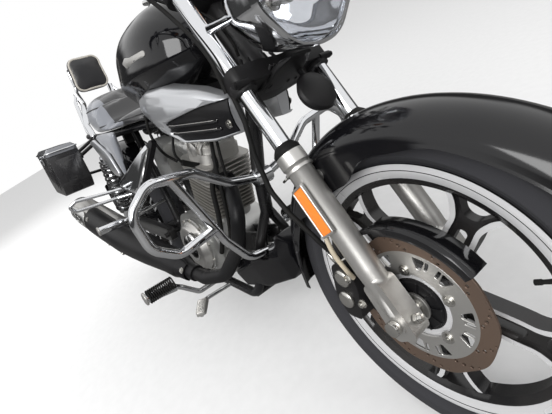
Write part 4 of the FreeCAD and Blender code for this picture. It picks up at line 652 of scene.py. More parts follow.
class Shape:
    """A mesh being built in millimetres in the upright bike's frame."""

    def __init__(self) -> None:
        """Starts empty."""
        self.mesh = bmesh.new()

    def ring(self, points: Iterable[Vector]) -> list[bmesh.types.BMVert]:
        """Adds one loop of vertices."""
        return [self.mesh.verts.new(p) for p in points]

    def skin(self, rings: Sequence[Sequence[bmesh.types.BMVert]], closed: bool = True,
             caps: bool = True, ends_meet: bool = False) -> None:
        """Joins loops of equally many vertices with faces.

        Args:
            rings: the loops in order.
            closed: whether each loop closes on itself.
            caps: whether the first and last loop get a face.
            ends_meet: whether the last loop joins the first.
        """
        count = len(rings[0])
        pairs = list(zip(rings, rings[1:])) + ([(rings[-1], rings[0])] if ends_meet else [])
        for low, high in pairs:
            for i in range(count if closed else count - 1):
                k = (i + 1) % count
                self.mesh.faces.new((low[i], low[k], high[k], high[i]))
        if caps and not ends_meet and closed:
            self.mesh.faces.new(list(reversed(rings[0])))
            self.mesh.faces.new(rings[-1])

    def tube(self, path: Sequence[Vector], radius: float | Callable[[float], float],
             sides: int = 16, flat: float = 1.0) -> "Shape":
        """A round or flattened bar along a path.

        Args:
            path: points along its middle.
            radius: its radius, or the radius at a share of the length.
            sides: vertices round it.
            flat: how much thinner it is one way.

        Returns:
            This shape.
        """
        ahead = (path[1] - path[0]).normalized()
        across = ahead.orthogonal().normalized()
        rings = []
        for i, point in enumerate(path):
            run = path[min(i + 1, len(path) - 1)] - path[max(i - 1, 0)]
            if run.length > 1e-6:
                ahead = run.normalized()
            across = (across - ahead * across.dot(ahead)).normalized()
            up = ahead.cross(across)
            r = radius(i / (len(path) - 1)) if callable(radius) else radius
            rings.append(self.ring(point + across * (r * math.cos(math.tau * k / sides))
                                   + up * (r * flat * math.sin(math.tau * k / sides))
                                   for k in range(sides)))
        self.skin(rings)
        return self

    def lathe(self, profile: Sequence[Row], origin: Row, axis: Row, sides: int = 48,
              closed_profile: bool = False) -> "Shape":
        """Turns (along, radius) points about a line."""
        origin, axis = Vector(origin), Vector(axis).normalized()
        across = axis.orthogonal().normalized()
        up = axis.cross(across)
        rings = []
        for along, radius in profile:
            radius = max(radius, 0.001)
            rings.append(self.ring(origin + axis * along
                                   + across * (radius * math.cos(math.tau * k / sides))
                                   + up * (radius * math.sin(math.tau * k / sides))
                                   for k in range(sides)))
        self.skin(rings, caps=not closed_profile, ends_meet=closed_profile)
        return self

    def prism(self, outline: Sequence[Row], place: Matrix, depth: float,
              low: float = 0.0) -> "Shape":
        """Pushes a flat outline out of its plane."""
        rings = [self.ring(place @ Vector((a, b, height)) for a, b in outline)
                 for height in (low, low + depth)]
        self.skin(rings)
        return self

    def loft(self, rings: Sequence[Sequence[Vector]], caps: bool = True,
             ends_meet: bool = False) -> "Shape":
        """Joins rings of points that all have the same count."""
        self.skin([self.ring(points) for points in rings], caps=caps, ends_meet=ends_meet)
        return self

    def take(self, data: bpy.types.Mesh, place: Matrix) -> "Shape":
        """Adds a ready mesh, moved by a matrix."""
        data.transform(place)
        self.mesh.from_mesh(data)
        return self

    def mirror(self) -> "Shape":
        """Adds the same shape on the other side of the bike."""
        whole = self.mesh.verts[:] + self.mesh.edges[:] + self.mesh.faces[:]
        copy = bmesh.ops.duplicate(self.mesh, geom=whole)
        verts = [g for g in copy["geom"] if isinstance(g, bmesh.types.BMVert)]
        faces = [g for g in copy["geom"] if isinstance(g, bmesh.types.BMFace)]
        for vert in verts:
            vert.co.y = -vert.co.y
        bmesh.ops.reverse_faces(self.mesh, faces=faces)
        return self

    def finish(self, name: str, finish: Finish | LensFinish, body: str, slot: str, *,
               angle: float = 38.0, bevel: float = 0.0, levels: int = 0, wall: float = 0.0,
               weld: float = 0.01, replaces: Sequence[str] = ()) -> bpy.types.Object:
        """Turns the shape into a piece of the scene.

        Args:
            name: the piece's name.
            finish: its finish.
            body: the body that it rides on.
            slot: the record's material slot that it belongs to; not used.
            angle: edges sharper than this stay sharp.
            bevel: width of rounded edges, if any.
            levels: subdivision levels.
            wall: thickness given to an open sheet.
            weld: distance within which vertices merge.
            replaces: nodes that the piece stands for.

        Returns:
            The finished object.
        """
        bmesh.ops.remove_doubles(self.mesh, verts=self.mesh.verts, dist=weld)
        bmesh.ops.recalc_face_normals(self.mesh, faces=self.mesh.faces)
        data = bpy.data.meshes.new(name)
        self.mesh.to_mesh(data)
        self.mesh.free()
        data.transform(PARK)
        return dress(data, name, finish, body, slot, angle, bevel * MM, levels, wall * MM, replaces)


def smooth(data: bpy.types.Mesh, angle: float) -> None:
    """Shades a mesh smooth, apart from edges sharper than an angle."""
    data.polygons.foreach_set("use_smooth", [True] * len(data.polygons))
    data.set_sharp_from_angle(angle=math.radians(angle))
    data.update()


def applied(piece: bpy.types.Object) -> None:
    """Turns a piece's modifiers into plain mesh."""
    data = evaluated(piece)
    piece.modifiers.clear()
    piece.data = data


def dress(data: bpy.types.Mesh, name: str, finish: Finish | LensFinish, body: str, slot: str,
          angle: float = 38.0, bevel: float = 0.0, levels: int = 0, wall: float = 0.0,
          replaces: Sequence[str] = ()) -> bpy.types.Object:
    """Makes a mesh in the row's frame a finished piece; sizes are in metres here."""
    piece = linked(name, data)
    if levels:
        piece.modifiers.new("round", "SUBSURF").levels = levels
        piece.modifiers["round"].render_levels = levels
    if wall:
        sheet = piece.modifiers.new("wall", "SOLIDIFY")
        sheet.thickness = wall
        sheet.offset = 0.0
    if bevel:
        edge = piece.modifiers.new("edges", "BEVEL")
        edge.width = bevel
        edge.segments = 2
        edge.limit_method = "ANGLE"
        edge.angle_limit = math.radians(30)
    if piece.modifiers:
        applied(piece)
    smooth(piece.data, angle)
    piece.data.materials.clear()
    piece.data.materials.append(finish.build())
    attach(piece, body)
    if replaces:
        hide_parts(*replaces)
    return piece


def cut_plate(outline: Sequence[Row], holes: Iterable[Sequence[Row]], thickness: float,
              bevel: float = 0.0) -> bpy.types.Mesh:
    """A flat plate with real holes, centred on its own plane.

    Args:
        outline: flat points round the plate.
        holes: flat points round each hole.
        thickness: how thick the plate is.
        bevel: width of its broken edges.

    Returns:
        The plate's mesh, in millimetres.
    """
    curve = bpy.data.curves.new("plate", "CURVE")
    curve.dimensions = "2D"
    curve.fill_mode = "BOTH"
    curve.extrude = thickness / 2 - bevel
    curve.bevel_depth = bevel
    curve.bevel_resolution = 0
    curve.offset = -bevel
    for loop in [outline, *holes]:
        spline = curve.splines.new("POLY")
        spline.points.add(len(loop) - 1)
        for point, (a, b) in zip(spline.points, loop):
            point.co = (a, b, 0, 1)
        spline.use_cyclic_u = True
    piece = linked("plate", curve)
    data = evaluated(piece)
    bpy.data.objects.remove(piece)
    bpy.data.curves.remove(curve)
    return data


def merged(node: str, flat: float) -> bmesh.types.BMesh:
    """A node's mesh with its vertices merged and faces joined within an angle in degrees."""
    mesh = bmesh.new()
    mesh.from_mesh(frame["nodes"][node].data)
    bmesh.ops.remove_doubles(mesh, verts=mesh.verts, dist=WELD)
    bmesh.ops.dissolve_limit(mesh, angle_limit=math.radians(flat), verts=mesh.verts,
                             edges=mesh.edges)
    return mesh


def softened(node: str, finish: Finish | LensFinish, *, angle: float = 32.0,
             bevel: float = 0.0, slot: str = "") -> bpy.types.Object:
    """A merged, smoothly shaded copy of a node that stands for it.

    Args:
        node: the node's name.
        finish: its finish.
        angle: edges sharper than this stay sharp.
        bevel: width in millimetres of its broken edges.
        slot: its material slot, where it isn't the node's own; not used.

    Returns:
        The copy.
    """
    source = frame["nodes"][node]
    mesh = merged(node, 1.5 if bevel else 0.2)
    data = bpy.data.meshes.new(node + "_finished")
    mesh.to_mesh(data)
    mesh.free()
    slots = {s["node"]: s["material_slot"] for s in frame["record"]["subparts"]}
    return dress(data, node + "_finished", finish, source["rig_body"], slot or slots[node], angle,
                 bevel * MM, replaces=[node])


@dataclass(frozen=True)
class Share:
    """The separate solids of a node that take one finish: those whose middle lies in a box.

    The box is in millimetres in the upright bike's frame, sides taken as positive.
    """

    name: str
    finish: Finish | LensFinish
    slot: str
    low: tuple[float, float, float] = (-2000, 0, 0)
    high: tuple[float, float, float] = (2000, 2000, 2000)
    angle: float = 35.0
    bevel: float = 0.0

    def holds(self, middle: Vector) -> bool:
        """Whether a solid with this middle belongs here.

        Args:
            middle: middle of the solid's box.

        Returns:
            True if it lies inside.
        """
        spot = (middle.x, abs(middle.y), middle.z)
        return all(a <= p <= b for a, p, b in zip(self.low, spot, self.high))


def solids_of(mesh: bmesh.types.BMesh) -> list[tuple[Vector, set[int]]]:
    """Separate solids of a mesh.

    Args:
        mesh: mesh in the row's frame, in metres.

    Returns:
        Middle of each solid's box in the upright bike's frame, and its faces' indices.
    """
    mesh.faces.ensure_lookup_table()
    left = set(range(len(mesh.faces)))
    found = []
    while left:
        stack, group, corners = [left.pop()], set(), []
        while stack:
            index = stack.pop()
            group.add(index)
            for vert in mesh.faces[index].verts:
                corners.append(UPRIGHT @ vert.co)
                for face in vert.link_faces:
                    if face.index in left:
                        left.discard(face.index)
                        stack.append(face.index)
        middle = Vector([(min(c[i] for c in corners) + max(c[i] for c in corners)) / 2
                         for i in range(3)])
        found.append((middle, group))
    return found


def parted(node: str, shares: Sequence[Share]) -> list[bpy.types.Object]:
    """Copies of a node's solids, each group in its own finish, that together stand for it.

    Args:
        node: the node's name.
        shares: the groups; a solid goes to the first that holds it.

    Returns:
        One piece for each group.
    """
    source = frame["nodes"][node]
    whole = merged(node, 0.4)
    whole.faces.index_update()
    groups = [set() for _ in shares]
    for middle, faces in solids_of(whole):
        for group, share in zip(groups, shares):
            if share.holds(middle):
                group |= faces
                break
        else:
            LOG.warning("%s: a solid at %s has no finish", node, tuple(round(c) for c in middle))
    pieces = []
    for group, share in zip(groups, shares):
        mesh = whole.copy()
        mesh.faces.ensure_lookup_table()
        others = [face for face in mesh.faces if face.index not in group]
        bmesh.ops.delete(mesh, geom=others, context="FACES")
        data = bpy.data.meshes.new(share.name)
        mesh.to_mesh(data)
        mesh.free()
        pieces.append(dress(data, share.name, share.finish, source["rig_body"], share.slot, share.angle,
                            share.bevel * MM, replaces=[node]))
    whole.free()
    return pieces


# Repeats made by Geometry Nodes


class Pattern:
    """Writes one Geometry Nodes tree with named inputs and runs it."""

    def __init__(self, name: str, inputs: dict[str, tuple[str, object]]) -> None:
        """Starts a tree.

        Args:
            name: the tree's name.
            inputs: socket type and default by input name.
        """
        self.tree = bpy.data.node_groups.new(name, "GeometryNodeTree")
        self.tree.interface.new_socket("Geometry", in_out="INPUT", socket_type="NodeSocketGeometry")
        self.sockets = {}
        for key, (kind, default) in inputs.items():
            socket = self.tree.interface.new_socket(key, in_out="INPUT", socket_type=kind)
            socket.default_value = default
            self.sockets[key] = socket.identifier
        material = self.tree.interface.new_socket("Finish", in_out="INPUT",
                                                  socket_type="NodeSocketMaterial")
        self.sockets["Finish"] = material.identifier
        self.tree.interface.new_socket("Geometry", in_out="OUTPUT", socket_type="NodeSocketGeometry")
        self.nodes = Nodes(self.tree)
        self.start = self.nodes.add("NodeGroupInput")

    def size(self, name: str) -> bpy.types.NodeSocket:
        """The socket of a named input."""
        return self.start.outputs[name]

    def close(self, geometry: bpy.types.NodeSocket) -> None:
        """Ends the tree in Realize Instances and Set Material."""
        real = self.nodes.add("GeometryNodeRealizeInstances", {0: geometry})
        dressed = self.nodes.add("GeometryNodeSetMaterial", {0: real.outputs[0],
                                                             "Material": self.start.outputs["Finish"]})
        end = self.nodes.add("NodeGroupOutput")
        self.tree.links.new(dressed.outputs[0], end.inputs[0])

    def run(self, values: dict[str, object], base: bpy.types.Mesh | None = None) -> bpy.types.Mesh:
        """Runs the tree.

        Args:
            values: values for its named inputs.
            base: mesh that it starts from, if it needs one.

        Returns:
            A plain mesh of the result.
        """
        data = base or bpy.data.meshes.new("pattern")
        piece = linked("pattern", data)
        modifier = piece.modifiers.new("pattern", "NODES")
        modifier.node_group = self.tree
        for key, value in values.items():
            modifier[self.sockets[key]] = value
        result = evaluated(piece)
        bpy.data.objects.remove(piece)
        return result


def bolt_pattern() -> Pattern:
    """Socket-head bolts on washers at every vertex of the base mesh."""
    pattern = Pattern("bolts", {"Radius": ("NodeSocketFloat", 5.0), "Height": ("NodeSocketFloat", 4.0),
                                "Sides": ("NodeSocketInt", 6)})
    add, calc = pattern.nodes.add, pattern.nodes.calc
    half = calc("MULTIPLY", pattern.size("Height"), 0.5)
    head = add("GeometryNodeMeshCylinder", {"Vertices": pattern.size("Sides"),
                                            "Radius": pattern.size("Radius"),
                                            "Depth": pattern.size("Height")})
    lift = add("ShaderNodeCombineXYZ", {2: half})
    raised = add("GeometryNodeTransform", {0: head.outputs[0], "Translation": lift.outputs[0]})
    wide = calc("MULTIPLY", pattern.size("Radius"), 1.35)
    washer = add("GeometryNodeMeshCylinder", {"Vertices": 20, "Radius": wide, "Depth": 1.4})
    dome_radius = calc("MULTIPLY", pattern.size("Radius"), 0.5)
    dome = add("GeometryNodeMeshCylinder", {"Vertices": 12, "Radius": dome_radius,
                                            "Depth": pattern.size("Height")})
    top = calc("MULTIPLY", pattern.size("Height"), 0.75)
    dome_lift = add("ShaderNodeCombineXYZ", {2: top})
    dome_up = add("GeometryNodeTransform", {0: dome.outputs[0], "Translation": dome_lift.outputs[0]})
    bolt = add("GeometryNodeJoinGeometry")
    for part in (washer, raised, dome_up):
        pattern.tree.links.new(part.outputs[0], bolt.inputs[0])
    spread = add("GeometryNodeInstanceOnPoints", {"Points": pattern.size("Geometry"),
                                                  "Instance": bolt.outputs[0]})
    pattern.close(spread.outputs[0])
    return pattern


def rib_pattern() -> Pattern:
    """Equally spaced rings along the Z axis, for grips, pegs, boots and knurls."""
    pattern = Pattern("ribs", {"Count": ("NodeSocketInt", 12), "Pitch": ("NodeSocketFloat", 6.0),
                               "Radius": ("NodeSocketFloat", 16.0), "Bead": ("NodeSocketFloat", 1.6)})
    add = pattern.nodes.add
    step = add("ShaderNodeCombineXYZ", {2: pattern.size("Pitch")})
    line = add("GeometryNodeMeshLine", {"Count": pattern.size("Count"), "Offset": step.outputs[0]})
    hoop = add("GeometryNodeCurvePrimitiveCircle", {"Resolution": 28, "Radius": pattern.size("Radius")})
    bead = add("GeometryNodeCurvePrimitiveCircle", {"Resolution": 6, "Radius": pattern.size("Bead")})
    ring = add("GeometryNodeCurveToMesh", {"Curve": hoop.outputs[0], "Profile Curve": bead.outputs[0]})
    spread = add("GeometryNodeInstanceOnPoints", {"Points": line.outputs[0],
                                                  "Instance": ring.outputs[0]})
    pattern.close(spread.outputs[0])
    return pattern


def coil_pattern() -> Pattern:
    """A round-wire spring along the Z axis."""
    pattern = Pattern("coil", {"Turns": ("NodeSocketFloat", 9.0), "Radius": ("NodeSocketFloat", 25.0),
                               "Height": ("NodeSocketFloat", 200.0), "Wire": ("NodeSocketFloat", 4.0)})
    add = pattern.nodes.add
    spiral = add("GeometryNodeCurveSpiral", {"Resolution": 28, "Rotations": pattern.size("Turns"),
                                             "Start Radius": pattern.size("Radius"),
                                             "End Radius": pattern.size("Radius"),
                                             "Height": pattern.size("Height")})
    wire = add("GeometryNodeCurvePrimitiveCircle", {"Resolution": 10, "Radius": pattern.size("Wire")})
    mesh = add("GeometryNodeCurveToMesh", {"Curve": spiral.outputs[0], "Profile Curve": wire.outputs[0],
                                           "Fill Caps": True})
    pattern.close(mesh.outputs[0])
    return pattern


def link_pattern() -> Pattern:
    """Chain links round a closed loop of edges, inner and outer plates in turn."""
    pattern = Pattern("links", {"Count": ("NodeSocketInt", 118), "Width": ("NodeSocketFloat", 9.0),
                                "Height": ("NodeSocketFloat", 10.0), "Pitch": ("NodeSocketFloat", 12.7)})
    add, calc = pattern.nodes.add, pattern.nodes.calc
    curve = add("GeometryNodeMeshToCurve", {0: pattern.size("Geometry")})
    points = add("GeometryNodeResampleCurve", {"Curve": curve.outputs[0],
                                               "Count": pattern.size("Count")})
    length = calc("MULTIPLY", pattern.size("Pitch"), 1.45)
    plate = add("ShaderNodeCombineXYZ", {0: 1.6, 1: pattern.size("Height"), 2: length})
    box = add("GeometryNodeMeshCube", {"Size": plate.outputs[0], "Vertices X": 2, "Vertices Y": 3,
                                       "Vertices Z": 3})
    half = calc("MULTIPLY", pattern.size("Width"), 0.5)
    right = add("ShaderNodeCombineXYZ", {0: half})
    left = add("ShaderNodeCombineXYZ", {0: calc("MULTIPLY", half, -1.0)})
    one = add("GeometryNodeTransform", {0: box.outputs[0], "Translation": right.outputs[0]})
    two = add("GeometryNodeTransform", {0: box.outputs[0], "Translation": left.outputs[0]})
    roller = add("GeometryNodeMeshCylinder", {"Vertices": 10, "Radius": 4.0,
                                              "Depth": pattern.size("Width")})
    across = add("GeometryNodeTransform", {0: roller.outputs[0], "Rotation": (0, math.pi / 2, 0)})
    link = add("GeometryNodeJoinGeometry")
    for part in (one, two, across):
        pattern.tree.links.new(part.outputs[0], link.inputs[0])
    tangent = add("GeometryNodeInputTangent")
    turn = add("FunctionNodeAxesToRotation", {0: tangent.outputs[0], 1: (1.0, 0.0, 0.0)},
               primary_axis="Z", secondary_axis="X")
    index = add("GeometryNodeInputIndex")
    odd = calc("MODULO", index.outputs[0], 2.0)
    narrow = add("ShaderNodeMapRange", {"Value": odd, "To Min": 1.0, "To Max": 0.72})
    scale = add("ShaderNodeCombineXYZ", {0: narrow.outputs[0], 1: 1.0, 2: 1.0})
    spread = add("GeometryNodeInstanceOnPoints", {"Points": points.outputs[0],
                                                  "Instance": link.outputs[0],
                                                  "Rotation": turn.outputs[0],
                                                  "Scale": scale.outputs[0]})
    pattern.close(spread.outputs[0])
    return pattern


class Repeats:
    """The patterns, each built once, with calls that place their results."""

    def __init__(self) -> None:
        """Builds the trees."""
        self.bolt_tree = bolt_pattern()
        self.rib_tree = rib_pattern()
        self.coil_tree = coil_pattern()
        self.link_tree = link_pattern()

    def bolts(self, name: str, groups: Iterable[tuple[Matrix, Sequence[Row], float, float]],
              body: str, slot: str, finish: Finish = BOLT_STEEL, sides: int = 6) -> bpy.types.Object:
        """Bolts at flat points of several planes.

        Args:
            name: the piece's name.
            groups: plane, flat points, bolt radius and head height of each group.
            body: body that they ride on.
            slot: their material slot; not used.
            finish: their finish.
            sides: sides of the head.

        Returns:
            One piece with all the bolts.
        """
        shape = Shape()
        for place, points, radius, height in groups:
            base = bpy.data.meshes.new("points")
            base.from_pydata([(a, b, 0) for a, b in points], [], [])
            mesh = self.bolt_tree.run({"Radius": float(radius), "Height": float(height),
                                       "Sides": sides, "Finish": finish.build()}, base)
            shape.take(mesh, place)
        return shape.finish(name, finish, body, slot, angle=30)

    def ribs(self, shape: Shape, place: Matrix, count: int, pitch: float, radius: float,
             bead: float) -> None:
        """Adds a row of rings to a shape."""
        mesh = self.rib_tree.run({"Count": count, "Pitch": float(pitch), "Radius": float(radius),
                                  "Bead": float(bead), "Finish": RUBBER.build()})
        shape.take(mesh, place)

    def coil(self, shape: Shape, place: Matrix, turns: float, radius: float, height: float,
             wire: float) -> None:
        """Adds a spring to a shape."""
        mesh = self.coil_tree.run({"Turns": float(turns), "Radius": float(radius),
                                   "Height": float(height), "Wire": float(wire),
                                   "Finish": CHROME.build()})
        shape.take(mesh, place)

    def links(self, loop: Sequence[Vector], count: int) -> bpy.types.Mesh:
        """A chain round a closed loop of points."""
        base = bpy.data.meshes.new("loop")
        edges = [(i, (i + 1) % len(loop)) for i in range(len(loop))]
        base.from_pydata([tuple(p) for p in loop], edges, [])
        return self.link_tree.run({"Count": count, "Finish": STEEL.build()}, base)


REPEATS = Repeats()


# Wheels


@dataclass
class Tyre:
    """A tyre with grooved crown and plain walls, standing for its node."""

    node: str
    body: str
    centre: Vector
    radius: float
    width: float
    rim_radius: float
    rim_width: float
    blocks: int
    groove: float = 4.2
    spread: float = 26.0
    flange: float = 4.0

    def section(self) -> list[tuple[float, float, float]]:
        """Half of the outer outline from the middle out, as (radius, side, tread share) rows."""
        crown = self.radius - TYRE_CROWN
        rows = []
        for i in range(25):
            turn = math.radians(self.spread * i / 24)
            rows.append((crown + TYRE_CROWN * math.cos(turn), TYRE_CROWN * math.sin(turn), i / 24))
        shoulder = rows[-1]
        widest = (self.radius * 0.42 + self.rim_radius * 0.58, self.width / 2)
        bulge = (shoulder[0] * 0.56 + widest[0] * 0.44, shoulder[1] * 0.2 + widest[1] * 0.8)
        wall = (self.rim_radius + 2.5, self.rim_width / 2 - self.flange - 1.4)
        lower = ((widest[0] + wall[0]) / 2, widest[1] * 0.9 + wall[1] * 0.1)
        walls = flowing([(shoulder[0], shoulder[1], 0), (bulge[0], bulge[1], 0),
                         (widest[0], widest[1] - 0.3, 0), (lower[0], lower[1], 0),
                         (wall[0], wall[1], 0)], 5)
        for i, point in enumerate(walls[1:]):
            ridge = 0.7 if i in (4, 5, 13) else 0.0
            rows.append((point.x, point.y + ridge, 2.0))
        rows.append((self.rim_radius - 10, self.rim_width / 2 - self.flange - 3.5, 2.0))
        return rows

    def depth(self, turn: float, share: float, sign: int) -> float:
        """How deep the tread is cut at a place.

        Args:
            turn: share of the way round, from 0 to 1.
            share: distance from the middle of the tread, 1 at its edge.
            sign: side of the tyre.

        Returns:
            Depth in millimetres.
        """
        if share > 1.0:
            return 0.0
        if share < 0.05:
            return self.groove
        phase = (turn * self.blocks + 0.9 * share + (0.5 if sign < 0 else 0.0)) % 1.0
        slant = 0.2 < share < 0.97 and phase < 0.3
        band = 0.46 < share < 0.56 and phase < 0.8
        return self.groove if slant or band else 0.0

    def build(self) -> None:
        """Makes the tyre."""
        half = self.section()
        outline = [(r, s, share, 1) for r, s, share in reversed(half)]
        outline += [(r, -s, share, -1) for r, s, share in half[1:]]
        steps = self.blocks * 9
        shape = Shape()
        rings = []
        for i in range(steps):
            out = heading(math.tau * i / steps)
            rings.append([self.centre + out * (r - self.depth(i / steps, share, sign)) + SIDE * side
                          for r, side, share, sign in outline])
        shape.loft(rings, ends_meet=True)
        shape.finish(self.node + "_tread", TYRE, self.body, "tyre_rubber", angle=40,
                     replaces=[self.node])


@dataclass
class FrontBrake:
    """Drilled disc on its slotted carrier, with bolts, caliper and guard."""

    disc_radius: float = 131.0
    ring_inner: float = 100.0
    carrier_radius: float = 103.5
    carrier_inner: float = 61.0
    side: float = -52.0
    thickness: float = 4.5
    first_bolt: float = 26.0
    bolt_circle: float = 68.0
    eye_radius: float = 12.0
    arms: int = 5
    hole_rows: int = 12

    def plane(self, out: float = 0.0) -> Matrix:
        """The disc's plane, seen from the right, moved outwards."""
        return flank(FRONT_AXLE + SIDE * (self.side - out), -1)

    def ring_holes(self) -> list[list[tuple[float, float]]]:
        """Slanted rows of round holes, large ones inside and small ones outside."""
        holes = []
        for i in range(self.hole_rows):
            for k, (radius, size) in enumerate(((107.0, 3.1), (114.5, 3.1), (121.5, 2.7), (126.6, 1.7))):
                turn = math.radians(360 / self.hole_rows * i + 5.4 * k)
                holes.append(circle(size, 14, (radius * math.cos(turn), radius * math.sin(turn))))
        return holes

    def carrier_hole(self) -> list[tuple[float, float]]:
        """The carrier's large hole, into which its bolt eyes reach."""
        points = []
        for i in range(240):
            turn = math.tau * i / 240
            radius = self.carrier_inner
            for k in range(self.arms):
                off = turn - math.radians(self.first_bolt + 360 / self.arms * k)
                inside = self.eye_radius ** 2 - (self.bolt_circle * math.sin(off)) ** 2
                if math.cos(off) > 0 and inside > 0:
                    radius = min(radius, self.bolt_circle * math.cos(off) - math.sqrt(inside))
            points.append((radius * math.cos(turn), radius * math.sin(turn)))
        return points

    def carrier_holes(self) -> list[list[tuple[float, float]]]:
        """Wedge windows on both sides of each bolt, and narrow slots between the bolts."""
        holes = []
        for i in range(self.arms):
            base = self.first_bolt + i * 360 / self.arms
            for sign in (-1, 1):
                wedge = [(76, -3 * sign), (97, -12 * sign), (97, 10 * sign), (76, 4 * sign)]
                holes.append(turned(rounded(wedge, 4, 3), base + 21 * sign))
                slot = [(80, -2.6), (97, -2.9), (97, 2.9), (80, 2.6)]
                holes.append(turned(rounded(slot, 2, 2), base + 36 + 6.5 * sign))
        return holes

    def build(self) -> None:
        """Makes the brake's pieces."""
        ring = cut_plate(circle(self.disc_radius - 1.4, 180, wave=1.3, lobes=10),
                         [circle(self.ring_inner, 96)] + self.ring_holes(), self.thickness, 0.25)
        Shape().take(ring, self.plane()).finish("brake_ring", DISC_STEEL, "front_wheel", "steel",
                                                angle=25, replaces=["brake_disc"])
        carrier = cut_plate(circle(self.carrier_radius, 96),
                            [self.carrier_hole()] + self.carrier_holes(), self.thickness - 0.4, 0.5)
        Shape().take(carrier, self.plane(0.4)).finish("disc_carrier", SATIN_ALLOY, "front_wheel",
                                                      "steel", angle=25)
        spots = round_spots(self.bolt_circle, self.arms, self.first_bolt)
        REPEATS.bolts("disc_bolts", [(self.plane(2.6), spots, 7.4, 4.4)], "front_wheel", "steel",
                      sides=16)
        self.hub_cap()
        self.caliper()
        softened("disc_guard", BLACK_PAINT, bevel=1.5)

    def hub_cap(self) -> None:
        """Dark ribbed hub inside the carrier, its seal and a pale bearing ring."""
        hub = Shape()
        hub.lathe([(2, 17), (2, 44), (-3, 47), (-6, 47), (-6, 17)], FRONT_AXLE + SIDE * self.side,
                  -SIDE, 64)
        for i in range(10):
            rib = turned([(20, -1.8), (46, -1.8), (46, 1.8), (20, 1.8)], 36 * i + 8)
            hub.prism(rib, self.plane(), 5.0)
        hub.finish("hub_recess", HEAT_BLACK, "front_wheel", "wheel_black")
        ring = Shape()
        ring.lathe([(0, 18), (0, 27), (3.5, 27), (4.5, 25), (4.5, 20), (3.5, 18)],
                   FRONT_AXLE + SIDE * (self.side - 4.5), -SIDE, 56)
        ring.finish("hub_ring", SATIN_ALLOY, "front_wheel", "steel")

    def caliper(self) -> None:
        """Caliper with its pistons' caps, bleed nipple and bolts, and the axle's pinch bolt."""
        softened("brake_caliper", HEAT_BLACK, bevel=2.5)
        caps = Shape()
        for x, z in ((598, 350), (594, 302)):
            caps.lathe([(0, 0), (0, 18), (5, 17), (8, 12), (8, 0)], (x, -94, z), -SIDE, 32)
        caps.lathe([(0, 0), (0, 5), (14, 5), (14, 3.4), (22, 3.2), (22, 0)], (584, -86, 376),
                   (-0.5, -0.3, 1), 16)
        caps.finish("caliper_caps", BOLT_STEEL, "steering", "aluminium", bevel=0.8)
        pinch = Shape()
        pinch.lathe([(0, 0), (0, 9), (8, 9), (8, 6), (15, 6), (15, 0)], fork(-4, 26, -92), AHEAD, 6)
        pinch.finish("axle_pinch_bolt", BOLT_STEEL, "steering", "aluminium", bevel=0.5)
        face = flank(Vector((0, -116, 0)), -1)
        REPEATS.bolts("caliper_bolts", [(face, [(636, 372), (656, 328)], 6.0, 6.0)], "steering",
                      "aluminium")


@dataclass
class Wheels:
    """Both cast wheels with their tyres, axles and valves."""

    valve_angle: float = 20.0

    def build(self) -> None:
        """Makes the wheels' pieces."""
        Tyre("front_tyre", "front_wheel", FRONT_AXLE, 303, 75, 242, 58, 66).build()
        Tyre("rear_tyre", "rear_wheel", REAR_AXLE, 296, 93, 217, 74, 60).build()
        softened("front_wheel", FRONT_WHEEL, angle=28)
        softened("rear_wheel", REAR_WHEEL, angle=28)
        softened("front_axle", BOLT_STEEL, bevel=1.2)
        softened("rear_axle", BOLT_STEEL, bevel=1.2)
        for centre, rim, body, name in ((FRONT_AXLE, 242, "front_wheel", "front_valve"),
                                        (REAR_AXLE, 217, "rear_wheel", "rear_valve")):
            valve = Shape()
            root = polar(centre, rim - 37, self.valve_angle)
            inward = centre - root
            valve.lathe([(0, 0), (0, 6), (4, 6), (5, 4), (26, 3.4), (27, 4.4), (36, 4.4), (37, 0)],
                        root, inward, 14)
            valve.finish(name, RUBBER, body, "tyre_rubber")


